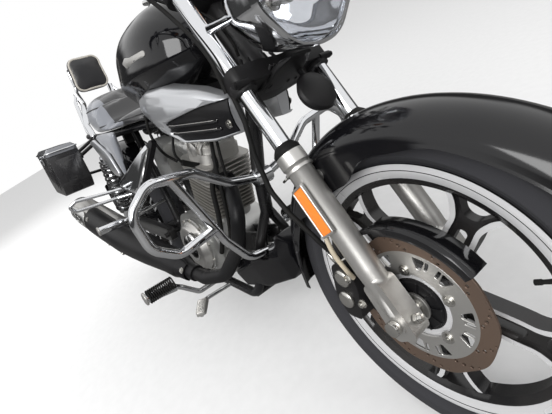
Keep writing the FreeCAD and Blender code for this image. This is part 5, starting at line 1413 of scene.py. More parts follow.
@dataclass
class FrontFender:
    """Crowned fender in one smooth sweep, with its valances beside the fork."""

    radius: float = 325.0
    nose_radius: float = 391.0
    half_width: float = 64.0
    crown_drop: float = 42.0
    front: float = 45.0
    joint: float = 100.0
    rear: float = 190.0
    wall: float = 2.6

    def edge(self, angle: float) -> float | None:
        """Inner radius of the valance at an angle, if there is one."""
        rows = [(74, 292), (94, 270), (112, 234), (138, 234), (152, 266), (184, 282)]
        inside = rows[0][0] <= angle <= rows[-1][0]
        return between(rows, angle, eased=True) if inside else None

    def section(self, angle: float) -> list[Vector]:
        """Points across the fender at an angle round the wheel."""
        centre = FRONT_AXLE + Vector((2.6, 0, 5))
        out = heading(math.radians(angle))
        radius = self.radius
        if angle < self.joint:
            centre = centre - heading(math.radians(self.joint)) * (self.nose_radius - self.radius)
            radius = self.nose_radius
        tip = max(0.0, 1 - (angle - self.front) / 7)
        width = self.half_width * (1 - 0.22 * tip * tip)
        drop = self.crown_drop
        edge = self.edge(angle)
        crown = []
        for i in range(21):
            turn = math.radians(-90 + 9 * i)
            crown.append(centre + out * (radius - drop * (1 - math.cos(turn)))
                         + SIDE * (width * math.sin(turn)))
        skirts = []
        for sign, rim in ((-1, crown[0]), (1, crown[-1])):
            reach = 4.0
            if edge is not None:
                reach = max(reach, (rim - FRONT_AXLE).dot(out) - edge)
            skirts.append([rim - out * (reach * k / 4) + SIDE * (sign * 0.4 * k) for k in range(1, 5)])
        return list(reversed(skirts[0])) + crown + skirts[1]

    def build(self) -> None:
        """Makes the fender and its stay's bolts."""
        shape = Shape()
        steps = 74
        angles = [self.front + (self.rear - self.front) * i / steps for i in range(steps + 1)]
        rings = [shape.ring(self.section(a)) for a in angles]
        shape.skin(rings, closed=False, caps=False)
        shape.finish("front_fender_skin", BLACK_PAINT, "steering", "gloss_black", angle=60,
                     wall=self.wall, replaces=["front_fender"])
        groups = []
        for sign in (-1, 1):
            origin = fork(272, 0, sign * 66.5)
            across = AHEAD if sign < 0 else -AHEAD
            groups.append((placed(origin, across, UP), [(0, 34), (0, -34)], 5.0, 3.6))
        REPEATS.bolts("fender_bolts", groups, "steering", "chrome")


# Steering


@dataclass
class Fork:
    """Legs, clamps, reflectors, seals, hoses and cables."""

    spread: float = 92.0
    slider: float = 23.0
    tube: float = 16.5

    def build(self) -> None:
        """Makes the fork's pieces."""
        softened("fork_sliders", SATIN_ALLOY, angle=30)
        softened("fork_tubes", CHROME, angle=30)
        softened("fork_clamps", HEAT_BLACK, bevel=1.5)
        softened("brake_hose", RUBBER, angle=50)
        self.seals()
        for sign in (-1, 1):
            self.reflector(sign)
        self.lines()
        self.lamp_bracket()

    def lamp_bracket(self) -> None:
        """Dark bracket and wiring between the lower clamp and the lamp, and the clamp's bolts."""
        bracket = Shape()
        rows = [((452, 712), (30, 22)), ((486, 728), (44, 26)), ((520, 738), (40, 16)),
                ((548, 742), (26, 6))]
        bracket.loft([[Vector((x + h * 0.35, a, z + h)) for a, h in
                       rounded([(-wide, -deep), (wide, -deep), (wide * 0.8, 0), (-wide * 0.8, 0)], 8)]
                      for (x, z), (wide, deep) in rows])
        for i, side in enumerate((-34, -20, 12, 26)):
            bracket.tube(flowing([(500 - 6 * i, side, 736), (470, side * 1.5, 700),
                                  (440, side * 1.7, 730), (424, side * 1.2, 762)], 6), 3.6, 8)
        bracket.finish("lamp_bracket", HEAT_BLACK, "steering", "frame_black", angle=45)
        rings = Shape()
        for sign in (-1, 1):
            origin = fork(0, 0, sign * self.spread)
            rings.lathe([(462, 18), (462, 23), (470, 24), (478, 24), (484, 22), (484, 18)], origin,
                        UP, 40)
            bolt = fork(472, 20, sign * (self.spread + 12))
            rings.lathe([(-16, 0), (-16, 7), (12, 7), (12, 5), (18, 5), (18, 0)], bolt, SIDE * sign, 16)
        rings.finish("clamp_rings", HEAT_BLACK, "steering", "frame_black", angle=40)

    def seals(self) -> None:
        """Rubber wiper on each slider and a bright band under it."""
        wipers, bands = Shape(), Shape()
        for sign in (-1, 1):
            origin = fork(0, 0, sign * self.spread)
            wipers.lathe([(330, 17), (330, 25), (338, 25.5), (343, 22), (349, 17)], origin, UP, 40)
            bands.lathe([(296, 25.9), (296, 26.9), (301, 26.9), (301, 25.9)], origin, UP, 40,
                        closed_profile=True)
        wipers.finish("fork_wipers", RUBBER, "steering", "rubber")
        bands.finish("slider_bands", SATIN_ALLOY, "steering", "aluminium")

    def reflector(self, sign: int) -> None:
        """Amber reflector in a pale frame on the outside of a leg.

        Args:
            sign: -1 for the right leg, 1 for the left.
        """
        name = "right" if sign < 0 else "left"
        across = AHEAD if sign < 0 else -AHEAD
        place = placed(fork(225, 0, sign * (self.spread + self.slider + 1.0)), across, UP)
        border = rounded([(-18, -48), (18, -48), (18, 48), (-18, 48)], 5)
        inner = rounded([(-14, -44), (14, -44), (14, 44), (-14, 44)], 3)
        rim = Shape().take(cut_plate(border, [inner], 6.4, 0.8), place @ Matrix.Translation((0, 0, 3.2)))
        rim.finish(name + "_reflector_frame", SATIN_ALLOY, "steering", "aluminium", angle=30)
        back = Shape().prism(border, place, 1.6)
        back.finish(name + "_reflector_back", SATIN_ALLOY, "steering", "aluminium")
        lens = Shape().prism(inner, place, 3.4, 1.4)
        lens.finish(name + "_reflector_lens", AMBER_REFLECTOR, "steering", "lens_amber", bevel=0.6)

    def lines(self) -> None:
        """Control cables from the bar down behind the legs, and the pale tube by the caliper."""
        cables = Shape()
        runs = [
            [(212, -264, 1036), (252, -214, 1000), (312, -140, 934), (392, -122, 850),
             (446, -118, 780), fork(486, -18, -114)],
            [(212, 264, 1036), (252, 214, 1000), (312, 140, 934), (394, 120, 850),
             (448, 118, 780), fork(486, -18, 114)],
            [(204, -286, 1034), (252, -196, 986), (330, -112, 908), (404, -66, 850),
             (430, -52, 800), (426, -44, 770)],
            [(204, 286, 1034), (252, 196, 986), (330, 104, 908), (404, 60, 850), (430, 48, 800),
             (426, 40, 770)],
        ]
        for run, radius in zip(runs, (4.2, 3.4, 3.2, 3.2)):
            cables.tube(flowing(run, 8), radius, 10)
        cables.finish("control_cables", RUBBER, "steering", "rubber", angle=60)
        pale = Shape()
        pale.tube(flowing([fork(190, -26, -106), fork(150, -34, -110), fork(112, -40, -104),
                           fork(92, -46, -96)], 8), 4.4, 12)
        pale.finish("caliper_tube", PALE_HOSE, "steering", "rubber", angle=60)
        guides = Shape()
        for up in (300, 130):
            guides.tube(filleted([fork(up, -20, -98), fork(up, -34, -112), fork(up, -44, -104)], 8),
                        2.4, 8)
        guides.finish("hose_clips", BOLT_STEEL, "steering", "aluminium")


@dataclass
class Headlamp:
    """Shield-shaped lamp: housing, rim, bowl, bulb and lens."""

    low: float = 742.0
    high: float = 920.0

    def outline(self, scale: float, station: float) -> list[Vector]:
        """The lamp's outline at a station, scaled about its middle."""
        middle = (self.low + self.high) / 2
        rows = [(0, self.low), (52, self.low + 8), (104, 812), (107, 850), (92, 895), (48, self.high),
                (0, self.high + 3), (-48, self.high), (-92, 895), (-107, 850), (-104, 812),
                (-52, self.low + 8)]
        flat = rounded([(a * scale, middle + (b - middle) * scale) for a, b in rows], 26, 4)
        return [Vector((station, a, b)) for a, b in flat]

    def build(self) -> None:
        """Makes the lamp's pieces."""
        softened("headlamp_shell", CHROME, angle=40, slot="chrome")
        rim = Shape()
        rim.loft([self.outline(s, x) for x, s in ((586, 1.0), (586, 1.025), (594, 1.03), (600, 1.0),
                                                  (600, 0.96), (592, 0.95))], ends_meet=True)
        rim.finish("headlamp_rim", CHROME, "steering", "chrome", angle=50)
        bowl = Shape()
        rings = [self.outline(s, x) for x, s in ((586, 0.945), (568, 0.9), (545, 0.76), (526, 0.55),
                                                 (517, 0.3), (515, 0.16))]
        bowl.loft(rings, caps=False)
        bowl.finish("headlamp_bowl", CHROME, "steering", "chrome", angle=30, wall=0.8)
        self.bulb()
        glass = Shape()
        front = [(588, 0.94), (600, 0.935), (609, 0.9), (616, 0.8), (620, 0.6), (621.5, 0.3)]
        back = [(618.5, 0.29), (617, 0.585), (613, 0.78), (606.5, 0.875), (598, 0.91), (588, 0.915)]
        glass.loft([self.outline(s, x) for x, s in front + back], caps=False)
        glass.finish("headlamp_glass", CLEAR, "steering", "lens_clear", angle=60,
                     replaces=["headlamp_lens"])

    def bulb(self) -> None:
        """Bulb, its shade and the base in the bowl's middle."""
        bulb = Shape()
        bulb.lathe([(0, 0), (0, 15), (8, 15), (9, 9), (36, 9), (44, 6), (47, 0)], (505, 0, 831),
                   (1, 0, 0), 28)
        bulb.finish("headlamp_bulb", BOLT_STEEL, "steering", "chrome")
        shade = Shape()
        shade.lathe([(0, 12), (14, 12.6), (15, 10), (15, 0)], (540, 0, 831), (1, 0, 0), 28)
        shade.finish("bulb_shade", SATIN_ALLOY, "steering", "chrome", wall=0.8)


@dataclass
class Cockpit:
    """Bar, grips, levers, mirrors, dial and turn lamps."""

    elbow: Vector = Vector((200, -290, 1054))
    end: Vector = Vector((96, -432, 1024))
    grip: float = 116.0
    perch_gap: float = 38.0

    def run(self) -> Vector:
        """Direction of the right grip, outwards."""
        return (self.end - self.elbow).normalized()

    def perch(self) -> Vector:
        """Place on the bar that carries the right lever and mirror."""
        return self.end - self.run() * (self.grip + self.perch_gap)

    def build(self) -> None:
        """Makes the cockpit's pieces."""
        softened("handlebar", CHROME, angle=35)
        softened("hand_controls", PLASTIC, bevel=0.8)
        softened("mirrors", BLACK_PAINT, angle=40)
        self.grips()
        self.mirror_glass()
        self.levers()
        self.dial()
        self.turn_lamps()
        face = placed(fork(723, 0, 0), AHEAD, SIDE)
        REPEATS.bolts("clamp_bolts", [(face, [(0, -92), (0, 92)], 13.0, 5.0),
                                      (placed(fork(729, -45, 0), AHEAD, SIDE), [(0, 0)], 11.0, 4.0)],
                      "steering", "chrome")

    def grips(self) -> None:
        """Ribs and end caps on both grips."""
        ribs = Shape()
        run = self.run()
        across = run.cross(Z)
        place = placed(self.end - run * (self.grip - 6), across, run.cross(across))
        REPEATS.ribs(ribs, place, 24, 4.6, 17.0, 1.25)
        ribs.mirror()
        ribs.finish("grip_ribs", RUBBER, "steering", "rubber", angle=50)
        ends = Shape()
        ends.lathe([(3, 0), (3, 15), (6, 17.5), (14, 17.5), (18, 13), (18, 0)], self.end, run, 32)
        ends.mirror()
        ends.finish("bar_ends", CHROME, "steering", "chrome")

    def mirror_glass(self) -> None:
        """Reflecting face on the rider's side of each mirror."""
        centre = self.perch() + Vector((0, 0, 18.3)) + Vector((8, -98, 168))
        ahead = Vector((1, 0.15, -0.1)).normalized()
        across = Vector((-0.15, 1, 0)).normalized()
        rows = [(-58, -21.6), (-29, -36), (34.8, -32.4), (58, -3.6), (46.4, 30.6), (-29, 36)]
        flat = rounded([(a * 0.92, b * 0.92) for a, b in rows], 24)
        up = ahead.cross(across)
        spots = [centre - ahead * 12.6 + across * a + up * b for a, b in flat]
        glass = Shape().loft([spots, [p - ahead * 1.2 for p in spots]]).mirror()
        glass.finish("mirror_faces", MIRROR_GLASS, "steering", "chrome", bevel=0.4)

    def levers(self) -> None:
        """Bright lever blades and the brake's fluid tank with its lid."""
        middle = self.perch()
        blades = Shape()
        blades.tube(filleted([middle + Vector((40, 8, 4)), middle + Vector((58, -26, 2)),
                              middle + Vector((44, -90, -6)), middle + Vector((20, -160, -16))], 30),
                    lambda t: 6.6 - 1.2 * t if t < 0.96 else 7.4, 14, 0.7)
        blades.mirror()
        blades.finish("lever_blades", SATIN_ALLOY, "steering", "aluminium", angle=50)
        tank = Shape()
        place = placed(middle + Vector((36, 2, 14)), X, SIDE)
        tank.prism(rounded([(-17, -24), (17, -24), (17, 24), (-17, 24)], 7), place, 24)
        tank.finish("brake_fluid_tank", PLASTIC, "steering", "black_plastic", bevel=1.5)
        lid = Shape()
        lid.prism(rounded([(-18, -25), (18, -25), (18, 25), (-18, 25)], 7), place, 4, 24)
        lid.finish("fluid_tank_lid", SATIN_ALLOY, "steering", "aluminium", bevel=1.0)

    def dial(self) -> None:
        """Round dial with marks, numbers, needle and bezel."""
        softened("instrument", CHROME, angle=35)
        centre = Vector((420, 0, 992))
        down = Vector((0.35, 0, -0.94)).normalized()
        place = placed(centre - down * 0.2, -SIDE, Vector((0.94, 0, 0.35)))
        face = Shape().prism(circle(36.5, 64), place, 1.2)
        face.finish("dial_plate", DIAL, "steering", "chrome")
        bezel = Shape()
        bezel.lathe([(-2, 35), (-2, 43), (3, 45.5), (9, 43), (8, 37), (4, 35)], centre, -down, 64,
                    closed_profile=True)
        bezel.finish("dial_bezel", CHROME, "steering", "chrome")
        marks = Shape()
        for i in range(29):
            turn = 225 - i * 270 / 28
            long = i % 4 == 0
            bar = [(27 if long else 30, -0.7), (34, -0.7), (34, 0.7), (27 if long else 30, 0.7)]
            marks.prism(turned(bar, turn), place, 0.5, 1.2)
        marks.finish("dial_ticks", DIAL_MARK, "steering", "chrome")
        self.numbers(place)
        needle = Shape().prism(turned([(-6, -1.6), (28, -0.4), (28, 0.4), (-6, 1.6)], 225), place,
                               0.8, 2.2)
        needle.prism(circle(4, 20), place, 2.4, 1.2)
        needle.finish("dial_pointer", NEEDLE, "steering", "chrome")
        glass = Shape().prism(circle(36, 48), place, 1.0, 5.0)
        glass.finish("dial_glass", CLEAR, "steering", "lens_clear")

    def numbers(self, place: Matrix) -> None:
        """Plain speed numbers round the dial."""
        text = Shape()
        for i in range(8):
            turn = math.radians(225 - i * 270 / 7)
            curve = bpy.data.curves.new("number", "FONT")
            curve.body = str(i * 20)
            curve.size = 7.0
            curve.align_x = "CENTER"
            curve.align_y = "CENTER"
            curve.extrude = 0.2
            piece = linked("number", curve)
            data = evaluated(piece)
            bpy.data.objects.remove(piece)
            text.take(data, place @ Matrix.Translation((21 * math.cos(turn), 21 * math.sin(turn), 1.5)))
        text.finish("dial_numbers", DIAL_MARK, "steering", "chrome", weld=0.0001)

    def turn_lamps(self) -> None:
        """Front turn lamps: black shells with amber faces."""
        softened("front_indicators", BLACK_PAINT, angle=40)
        faces = Shape()
        for sign in (-1, 1):
            back = Vector((329.5, sign * 166.5, 1018.06))
            faces.lathe([(22, 25.6), (24, 27.4), (40, 28.2), (49, 24.5), (55, 15), (57.5, 0)], back,
                        (1, 0, 0), 40)
        faces.finish("front_turn_lenses", AMBER_LENS, "steering", "lens_amber")


# Engine and exhaust


@dataclass
class Engine:
    """Crankcase, covers, finned cylinder and head, carburettor and their fastenings."""

    cover_centre: Vector = Vector((-36, -92.3, 300))
    generator_centre: Vector = Vector((-8, 92.3, 296))
    bolt_face: float = 7.4

    def build(self) -> None:
        """Makes the engine's pieces."""
        softened("crankcase", CAST_ALLOY, bevel=2.5)
        softened("engine_covers", SATIN_ALLOY, angle=30, bevel=1.2)
        softened("cylinder", BARREL_ALLOY, bevel=0.8)
        softened("cylinder_head", FIN_ALLOY, bevel=0.8)
        softened("carburettor", CAST_ALLOY, bevel=1.5)
        self.covers()
        self.fastenings()
        self.plug_lead()
        self.carburettor_trim()
        self.head_trim()
        self.front_hoses()

    def head_trim(self) -> None:
        """Ribs, an inspection cap and small bosses on the rocker cover's right side."""
        trim = Shape()
        for i in range(4):
            a = -36 + i * 24
            spots = [engine(HEAD_BASE + up, a, -side) for up, side in ((80, 57), (100, 55.5), (110, 46))]
            trim.tube(spots, 3.2, 8)
        trim.lathe([(0, 0), (0, 19), (5, 19), (8, 15), (9, 0)], engine(HEAD_BASE + 90, 0, -55),
                   -SIDE, 32)
        trim.lathe([(0, 0), (0, 11), (9, 11), (9, 8), (14, 8), (14, 0)],
                   engine(HEAD_BASE + 40, 46, -60), -SIDE, 6)
        for ahead in (-52, 52):
            trim.lathe([(0, 7), (104, 7)], engine(82, ahead, -52), BORE_UP, 12)
        trim.finish("head_trim", SATIN_ALLOY, "chassis", "aluminium", angle=40)

    def front_hoses(self) -> None:
        """Black breather hose and wiring that run down in front of the cylinder."""
        hoses = Shape()
        runs = [([engine(262, 58, -34), engine(250, 92, -52), (166, -74, 500), (158, -84, 420),
                  (140, -92, 350), (110, -96, 300)], 7.0),
                ([(196, -40, 640), (206, -62, 560), (204, -72, 480), (190, -78, 400),
                  (168, -84, 340)], 5.2),
                ([(206, -30, 650), (222, -50, 570), (222, -56, 480), (206, -60, 400)], 4.0)]
        for run, radius in runs:
            hoses.tube(flowing(run, 8), radius, 12)
        hoses.finish("engine_hoses", RUBBER, "chassis", "rubber", angle=60)

    def covers(self) -> None:
        """Raised ring, cap and bright disc on both side covers."""
        cap = Shape()
        cap.lathe([(0, 0), (0, 46), (3, 45), (7, 38), (9, 30), (9.5, 0)],
                  self.cover_centre - SIDE * 32.4, -SIDE, 64)
        cap.lathe([(0, 0), (0, 22), (9, 21), (14, 17), (16, 0)],
                  self.cover_centre + Vector((58, -33.0, 46)), -SIDE, 40)
        cap.finish("clutch_cap", POLISHED, "chassis", "aluminium", bevel=0.8)
        left = Shape()
        left.lathe([(0, 0), (0, 44), (3, 43), (6, 34), (7, 0)], self.generator_centre + SIDE * 29.6,
                   SIDE, 64)
        left.finish("generator_cap", POLISHED, "chassis", "aluminium", bevel=0.8)
        ring = Shape()
        ring.lathe([(-2, 85), (-2, 91), (6, 91), (8, 88), (8, 85)], self.cover_centre, -SIDE, 72,
                   closed_profile=True)
        ring.lathe([(-2, 75), (-2, 81), (6, 81), (8, 78), (8, 75)], self.generator_centre, SIDE, 72,
                   closed_profile=True)
        ring.finish("cover_flanges", CAST_ALLOY, "chassis", "aluminium")

    def fastenings(self) -> None:
        """Cover bolts, head bolts and drain plug."""
        right = flank(self.cover_centre - SIDE * self.bolt_face, -1)
        left = flank(self.generator_centre + SIDE * self.bolt_face, 1)
        top = placed(engine(HEAD_BASE + 112.4), BORE_AHEAD, SIDE)
        groups = [(right, round_spots(88, 10, 12), 4.2, 5.0),
                  (left, round_spots(78, 9, 20), 4.2, 5.0),
                  (top, [(48, 44), (48, -44), (-48, 44), (-48, -44), (0, 48), (0, -48)], 4.6, 5.0)]
        REPEATS.bolts("engine_bolts", groups, "chassis", "aluminium", sides=6)
        plug = Shape()
        plug.lathe([(0, 0), (0, 17), (5, 17), (7, 14), (12, 11), (12, 0)], (-96, -92, 236), -SIDE, 24)
        plug.finish("oil_plug", BOLT_STEEL, "chassis", "aluminium")

    def plug_lead(self) -> None:
        """Spark plug cap on the head's right side and the lead to the frame."""
        cap = Shape()
        base = engine(238, 18, -84)
        cap.tube(filleted([engine(236, 18, -60), base, engine(262, 10, -104)], 10), 8.0, 16)
        cap.tube(flowing([engine(262, 10, -104), engine(290, 0, -112), engine(330, -20, -92),
                          engine(352, -46, -60), engine(360, -70, -40)], 8), 3.6, 10)
        cap.finish("plug_lead", RUBBER, "chassis", "rubber", angle=60)

    def carburettor_trim(self) -> None:
        """Fuel hose and throttle cable."""
        lines = Shape()
        lines.tube(flowing([(-70, -46, 560), (-92, -70, 600), (-110, -78, 660), (-104, -70, 726)], 8),
                   4.4, 12)
        lines.tube(flowing([(-100, -30, 640), (-60, -66, 670), (40, -60, 690), (150, -46, 730)], 8),
                   2.8, 10)
        lines.finish("fuel_lines", RUBBER, "chassis", "rubber", angle=60)


@dataclass
class Exhaust:
    """Header, long black cover, silencer with its slotted tail shield and tail ring."""

    front: Vector = Vector((66, -172, 264))
    middle: Vector = Vector((-380, -216, 330))
    rear: Vector = Vector((-872, -250, 420))
    cover_end: float = 0.56

    def build(self) -> None:
        """Makes the exhaust's pieces."""
        softened("exhaust_pipe", HEAT_BLACK, angle=40)
        parted("muffler", [Share("front_section", HEAT_BLACK, "exhaust_black", low=(-400, 0, 0)),
                           Share("silencer_body", SATIN_ALLOY, "aluminium")])
        self.long_cover()
        self.shield()
        self.bands()

    def frame_of(self, run: Vector) -> tuple[Vector, Vector]:
        """Outward and upward directions across a run of the pipe."""
        ahead = run.normalized()
        side = Z.cross(ahead).normalized()
        return side, ahead.cross(side)

    def radius(self, share: float) -> float:
        """Silencer radius at a share of its length."""
        rows = [(0.0, 44.0), (0.12, 52.0), (0.4, 57.5), (0.8, 57.5), (0.94, 53.0), (1.0, 47.0)]
        return between(rows, share)

    def stations(self) -> list[tuple[Vector, float]]:
        """Middles of the long cover's arcs with their radii, front to rear."""
        # share of the front section (below 1) or of the silencer (from 1), radius
        rows = [(0.06, 30), (0.2, 35), (0.4, 43), (0.6, 51), (0.8, 56), (1.0, 59), (1.15, 60.5),
                (1.3, 62), (1.45, 62.5), (1 + self.cover_end, 62)]
        found = []
        for share, radius in rows:
            if share < 1:
                found.append((self.front.lerp(self.middle, share), radius))
            else:
                found.append((self.middle.lerp(self.rear, share - 1), radius))
        return found

    def long_cover(self) -> None:
        """Black guard from the header to the middle of the silencer, with round-headed bolts."""
        side, top = self.frame_of(self.rear - self.front)
        stations = self.stations()
        smooth_run = flowing([(here.x, here.y, here.z) for here, _ in stations], 4)
        cover = Shape()
        rings = []
        for i, here in enumerate(smooth_run):
            whole, part = divmod(i / 4, 1)
            low = stations[int(whole)][1]
            high = stations[min(int(whole) + 1, len(stations) - 1)][1]
            radius = low + (high - low) * part
            ends = min(i, len(smooth_run) - 1 - i)
            narrow = 80 - (14 if ends == 0 else 5 if ends == 1 else 0)
            rings.append([here + (side * math.cos(math.radians(a)) + top * math.sin(math.radians(a)))
                          * (radius - (2.5 if k in (0, 20) else 0.0))
                          for k, a in enumerate(-narrow + 2 * narrow * k / 20 + 10 for k in range(21))])
        cover.skin([cover.ring(points) for points in rings], closed=False, caps=False)
        cover.finish("long_pipe_cover", HEAT_BLACK, "chassis", "exhaust_black", wall=2.4, angle=50)
        bolts = []
        for share, up in ((0.08, 30), (0.5, -34), (0.94, -34), (1.2, -34), (1.5, 34)):
            if share < 1:
                here, run = self.front.lerp(self.middle, share), self.middle - self.front
            else:
                here, run = self.middle.lerp(self.rear, share - 1), self.rear - self.middle
            near = min(stations, key=lambda row: (row[0] - here).length)
            out = side * math.cos(math.radians(up)) + top * math.sin(math.radians(up))
            bolts.append((placed(here + out * (near[1] + 0.8), run, out.cross(run)), [(0, 0)], 6.5, 3.6))
        REPEATS.bolts("pipe_cover_bolts", bolts, "chassis", "chrome", sides=20)

    def shield(self) -> None:
        """Slotted bright shield round the outer side of the silencer's tail."""
        length = 176.0
        slots = []
        for i in range(3):
            for k in range(2):
                a = -length / 2 + 40 + i * 46 + k * 14
                slots.append(rounded([(a - 15, -5 + 24 * k - 12), (a + 15, -5 + 24 * k - 12),
                                      (a + 15, 5 + 24 * k - 12), (a - 15, 5 + 24 * k - 12)], 5, 4))
        outline = rounded([(-length / 2, -40), (length / 2, -34), (length / 2, 34), (-length / 2, 40)],
                          18, 6)
        self.wrap(cut_plate(outline, slots, 2.4, 0.5), 0.765)

    def wrap(self, plate: bpy.types.Mesh, start: float) -> None:
        """Bends the flat plate round the silencer.

        Args:
            plate: flat plate, its length along the first axis.
            start: share of the silencer's length where its middle goes.
        """
        run = self.rear - self.middle
        side, top = self.frame_of(run)
        mesh = bmesh.new()
        mesh.from_mesh(plate)
        for axis, cuts in ((0, 20), (1, 12)):
            span = [v.co[axis] for v in mesh.verts]
            for i in range(1, cuts):
                at = min(span) + (max(span) - min(span)) * i / cuts
                normal = SIDE if axis else X
                geometry = mesh.verts[:] + mesh.edges[:] + mesh.faces[:]
                bmesh.ops.bisect_plane(mesh, geom=geometry, plane_co=normal * at, plane_no=normal)
        for vert in mesh.verts:
            a, b, height = vert.co
            share = start + a / run.length
            reach = self.radius(share) + 4.0 + height
            turn = b / 56.0 + 0.16
            vert.co = self.middle + run * share + (side * math.cos(turn) + top * math.sin(turn)) * reach
        data = bpy.data.meshes.new("shield")
        mesh.to_mesh(data)
        mesh.free()
        shape = Shape().take(data, Matrix.Identity(4))
        shape.finish("silencer_shield", POLISHED, "chassis", "aluminium", angle=50)

    def bands(self) -> None:
        """Ring round the silencer's tail cap."""
        run = (self.rear - self.middle).normalized()
        rings = Shape()
        tail = self.rear - run * 4
        rings.lathe([(-22, 47), (-22, 52.5), (0, 50.5), (4, 47), (4, 27), (-4, 26), (-4, 47)], tail, run,
                    48, closed_profile=True)
        rings.finish("silencer_bands", POLISHED, "chassis", "aluminium")


# Bodywork


@dataclass
class Tank:
    """Fuel tank with its blank plates, chrome console and filler."""

    def build(self) -> None:
        """Makes the tank's pieces."""
        softened("fuel_tank", BLACK_PAINT, angle=40)
        softened("tank_console", CHROME, angle=35)
        self.badges()
        self.console()

    def badges(self) -> None:
        """Blank swept plate on each side of the tank."""
        plate = rounded([(-70, -8), (30, -14), (62, 2), (34, 10), (0, 4), (-66, 4)], 6, 3)
        shape = Shape()
        for sign in (-1, 1):
            rings = []
            for inset, out in ((1.0, -0.6), (1.0, 1.4), (0.82, 2.2)):
                ring = []
                for a, b in plate:
                    spot = Vector((142 - a * inset, 0, 846 + b * inset))
                    ring.append(spot + SIDE * (sign * (on_side("fuel_tank", spot, sign) + out)))
                rings.append(ring)
            shape.loft(rings)
        shape.finish("tank_plates", SATIN_ALLOY, "chassis", "chrome", angle=40)

    def console(self) -> None:
        """Filler cap and warning lamps."""
        cap = Shape()
        cap.lathe([(0, 0), (0, 30), (4, 31), (9, 29), (12, 24), (13, 0)], (84, 0, 964), (0.1, 0, 1), 56)
        cap.finish("filler_cap", POLISHED, "chassis", "chrome", bevel=0.8)
        lamps = Shape()
        for i, x in enumerate((140, 156, 172)):
            lamps.lathe([(0, 0), (0, 5), (2, 4.6), (3, 0)], (x, 0, 967 - 2.5 * i), (0.05, 0, 1), 20)
        lamps.finish("console_lamps", DIAL_MARK, "chassis", "black_plastic")


def on_side(node: str, spot: Vector, sign: int) -> float:
    """Distance from the bike's middle to a node's side at a place seen from that side.

    Args:
        node: the node's name.
        spot: place with its height and distance ahead.
        sign: -1 for the right side, 1 for the left.

    Returns:
        The distance in millimetres.
    """
    if node not in SURFACES:
        SURFACES[node] = surface_of(frame["nodes"][node].data)
    start = PARK @ Vector((spot.x, sign * 400, spot.z))
    place = SURFACES[node].ray_cast(start, TURN @ (SIDE * -sign))[0]
    return abs((UPRIGHT @ place).y) if place else BESIDE_MISSED


@dataclass
class Shrouds:
    """Silver side shrouds with black grilles and a bright bolt below each."""

    bolt: Vector = Vector((374, 0, 655))

    def build(self) -> None:
        """Makes the shrouds' pieces."""
        softened("shrouds", SILVER_PAINT, angle=42)
        softened("shroud_grilles", PLASTIC, bevel=0.8)
        bolts = []
        for sign in (-1, 1):
            out = on_side("shroud_grilles", self.bolt, sign) + 0.4
            bolts.append((flank(self.bolt + SIDE * (sign * out), sign), [(0, 0)], 7.5, 4.0))
        REPEATS.bolts("grille_bolts", bolts, "chassis", "chrome", sides=24)
        self.ribs()

    def ribs(self) -> None:
        """Two long ribs across each grille, each a black blade under a thin pale alloy strip along its
        top edge, a painted highlight.
        """
        blades, highlight_strips = Shape(), Shape()
        for sign in (-1, 1):
            for height in (668, 686):
                path = []
                for i in range(12):
                    x = 214 + 138 * i / 11
                    spot = Vector((x, 0, height + 1 - (x - 180) * 18 / 172))
                    path.append(spot + SIDE * (sign * (on_side("shroud_grilles", spot, sign) + 0.4)))
                blades.tube([p - Vector((0, 0, 2.4)) for p in path], 3.4, 8)
                # pale alloy strip along the blade's top edge: a painted highlight
                highlight_strips.tube(path, 1.5, 8)
        blades.finish("grille_blades", PLASTIC, "chassis", "black_plastic")
        highlight_strips.finish("grille_lips", SATIN_ALLOY, "chassis", "aluminium")


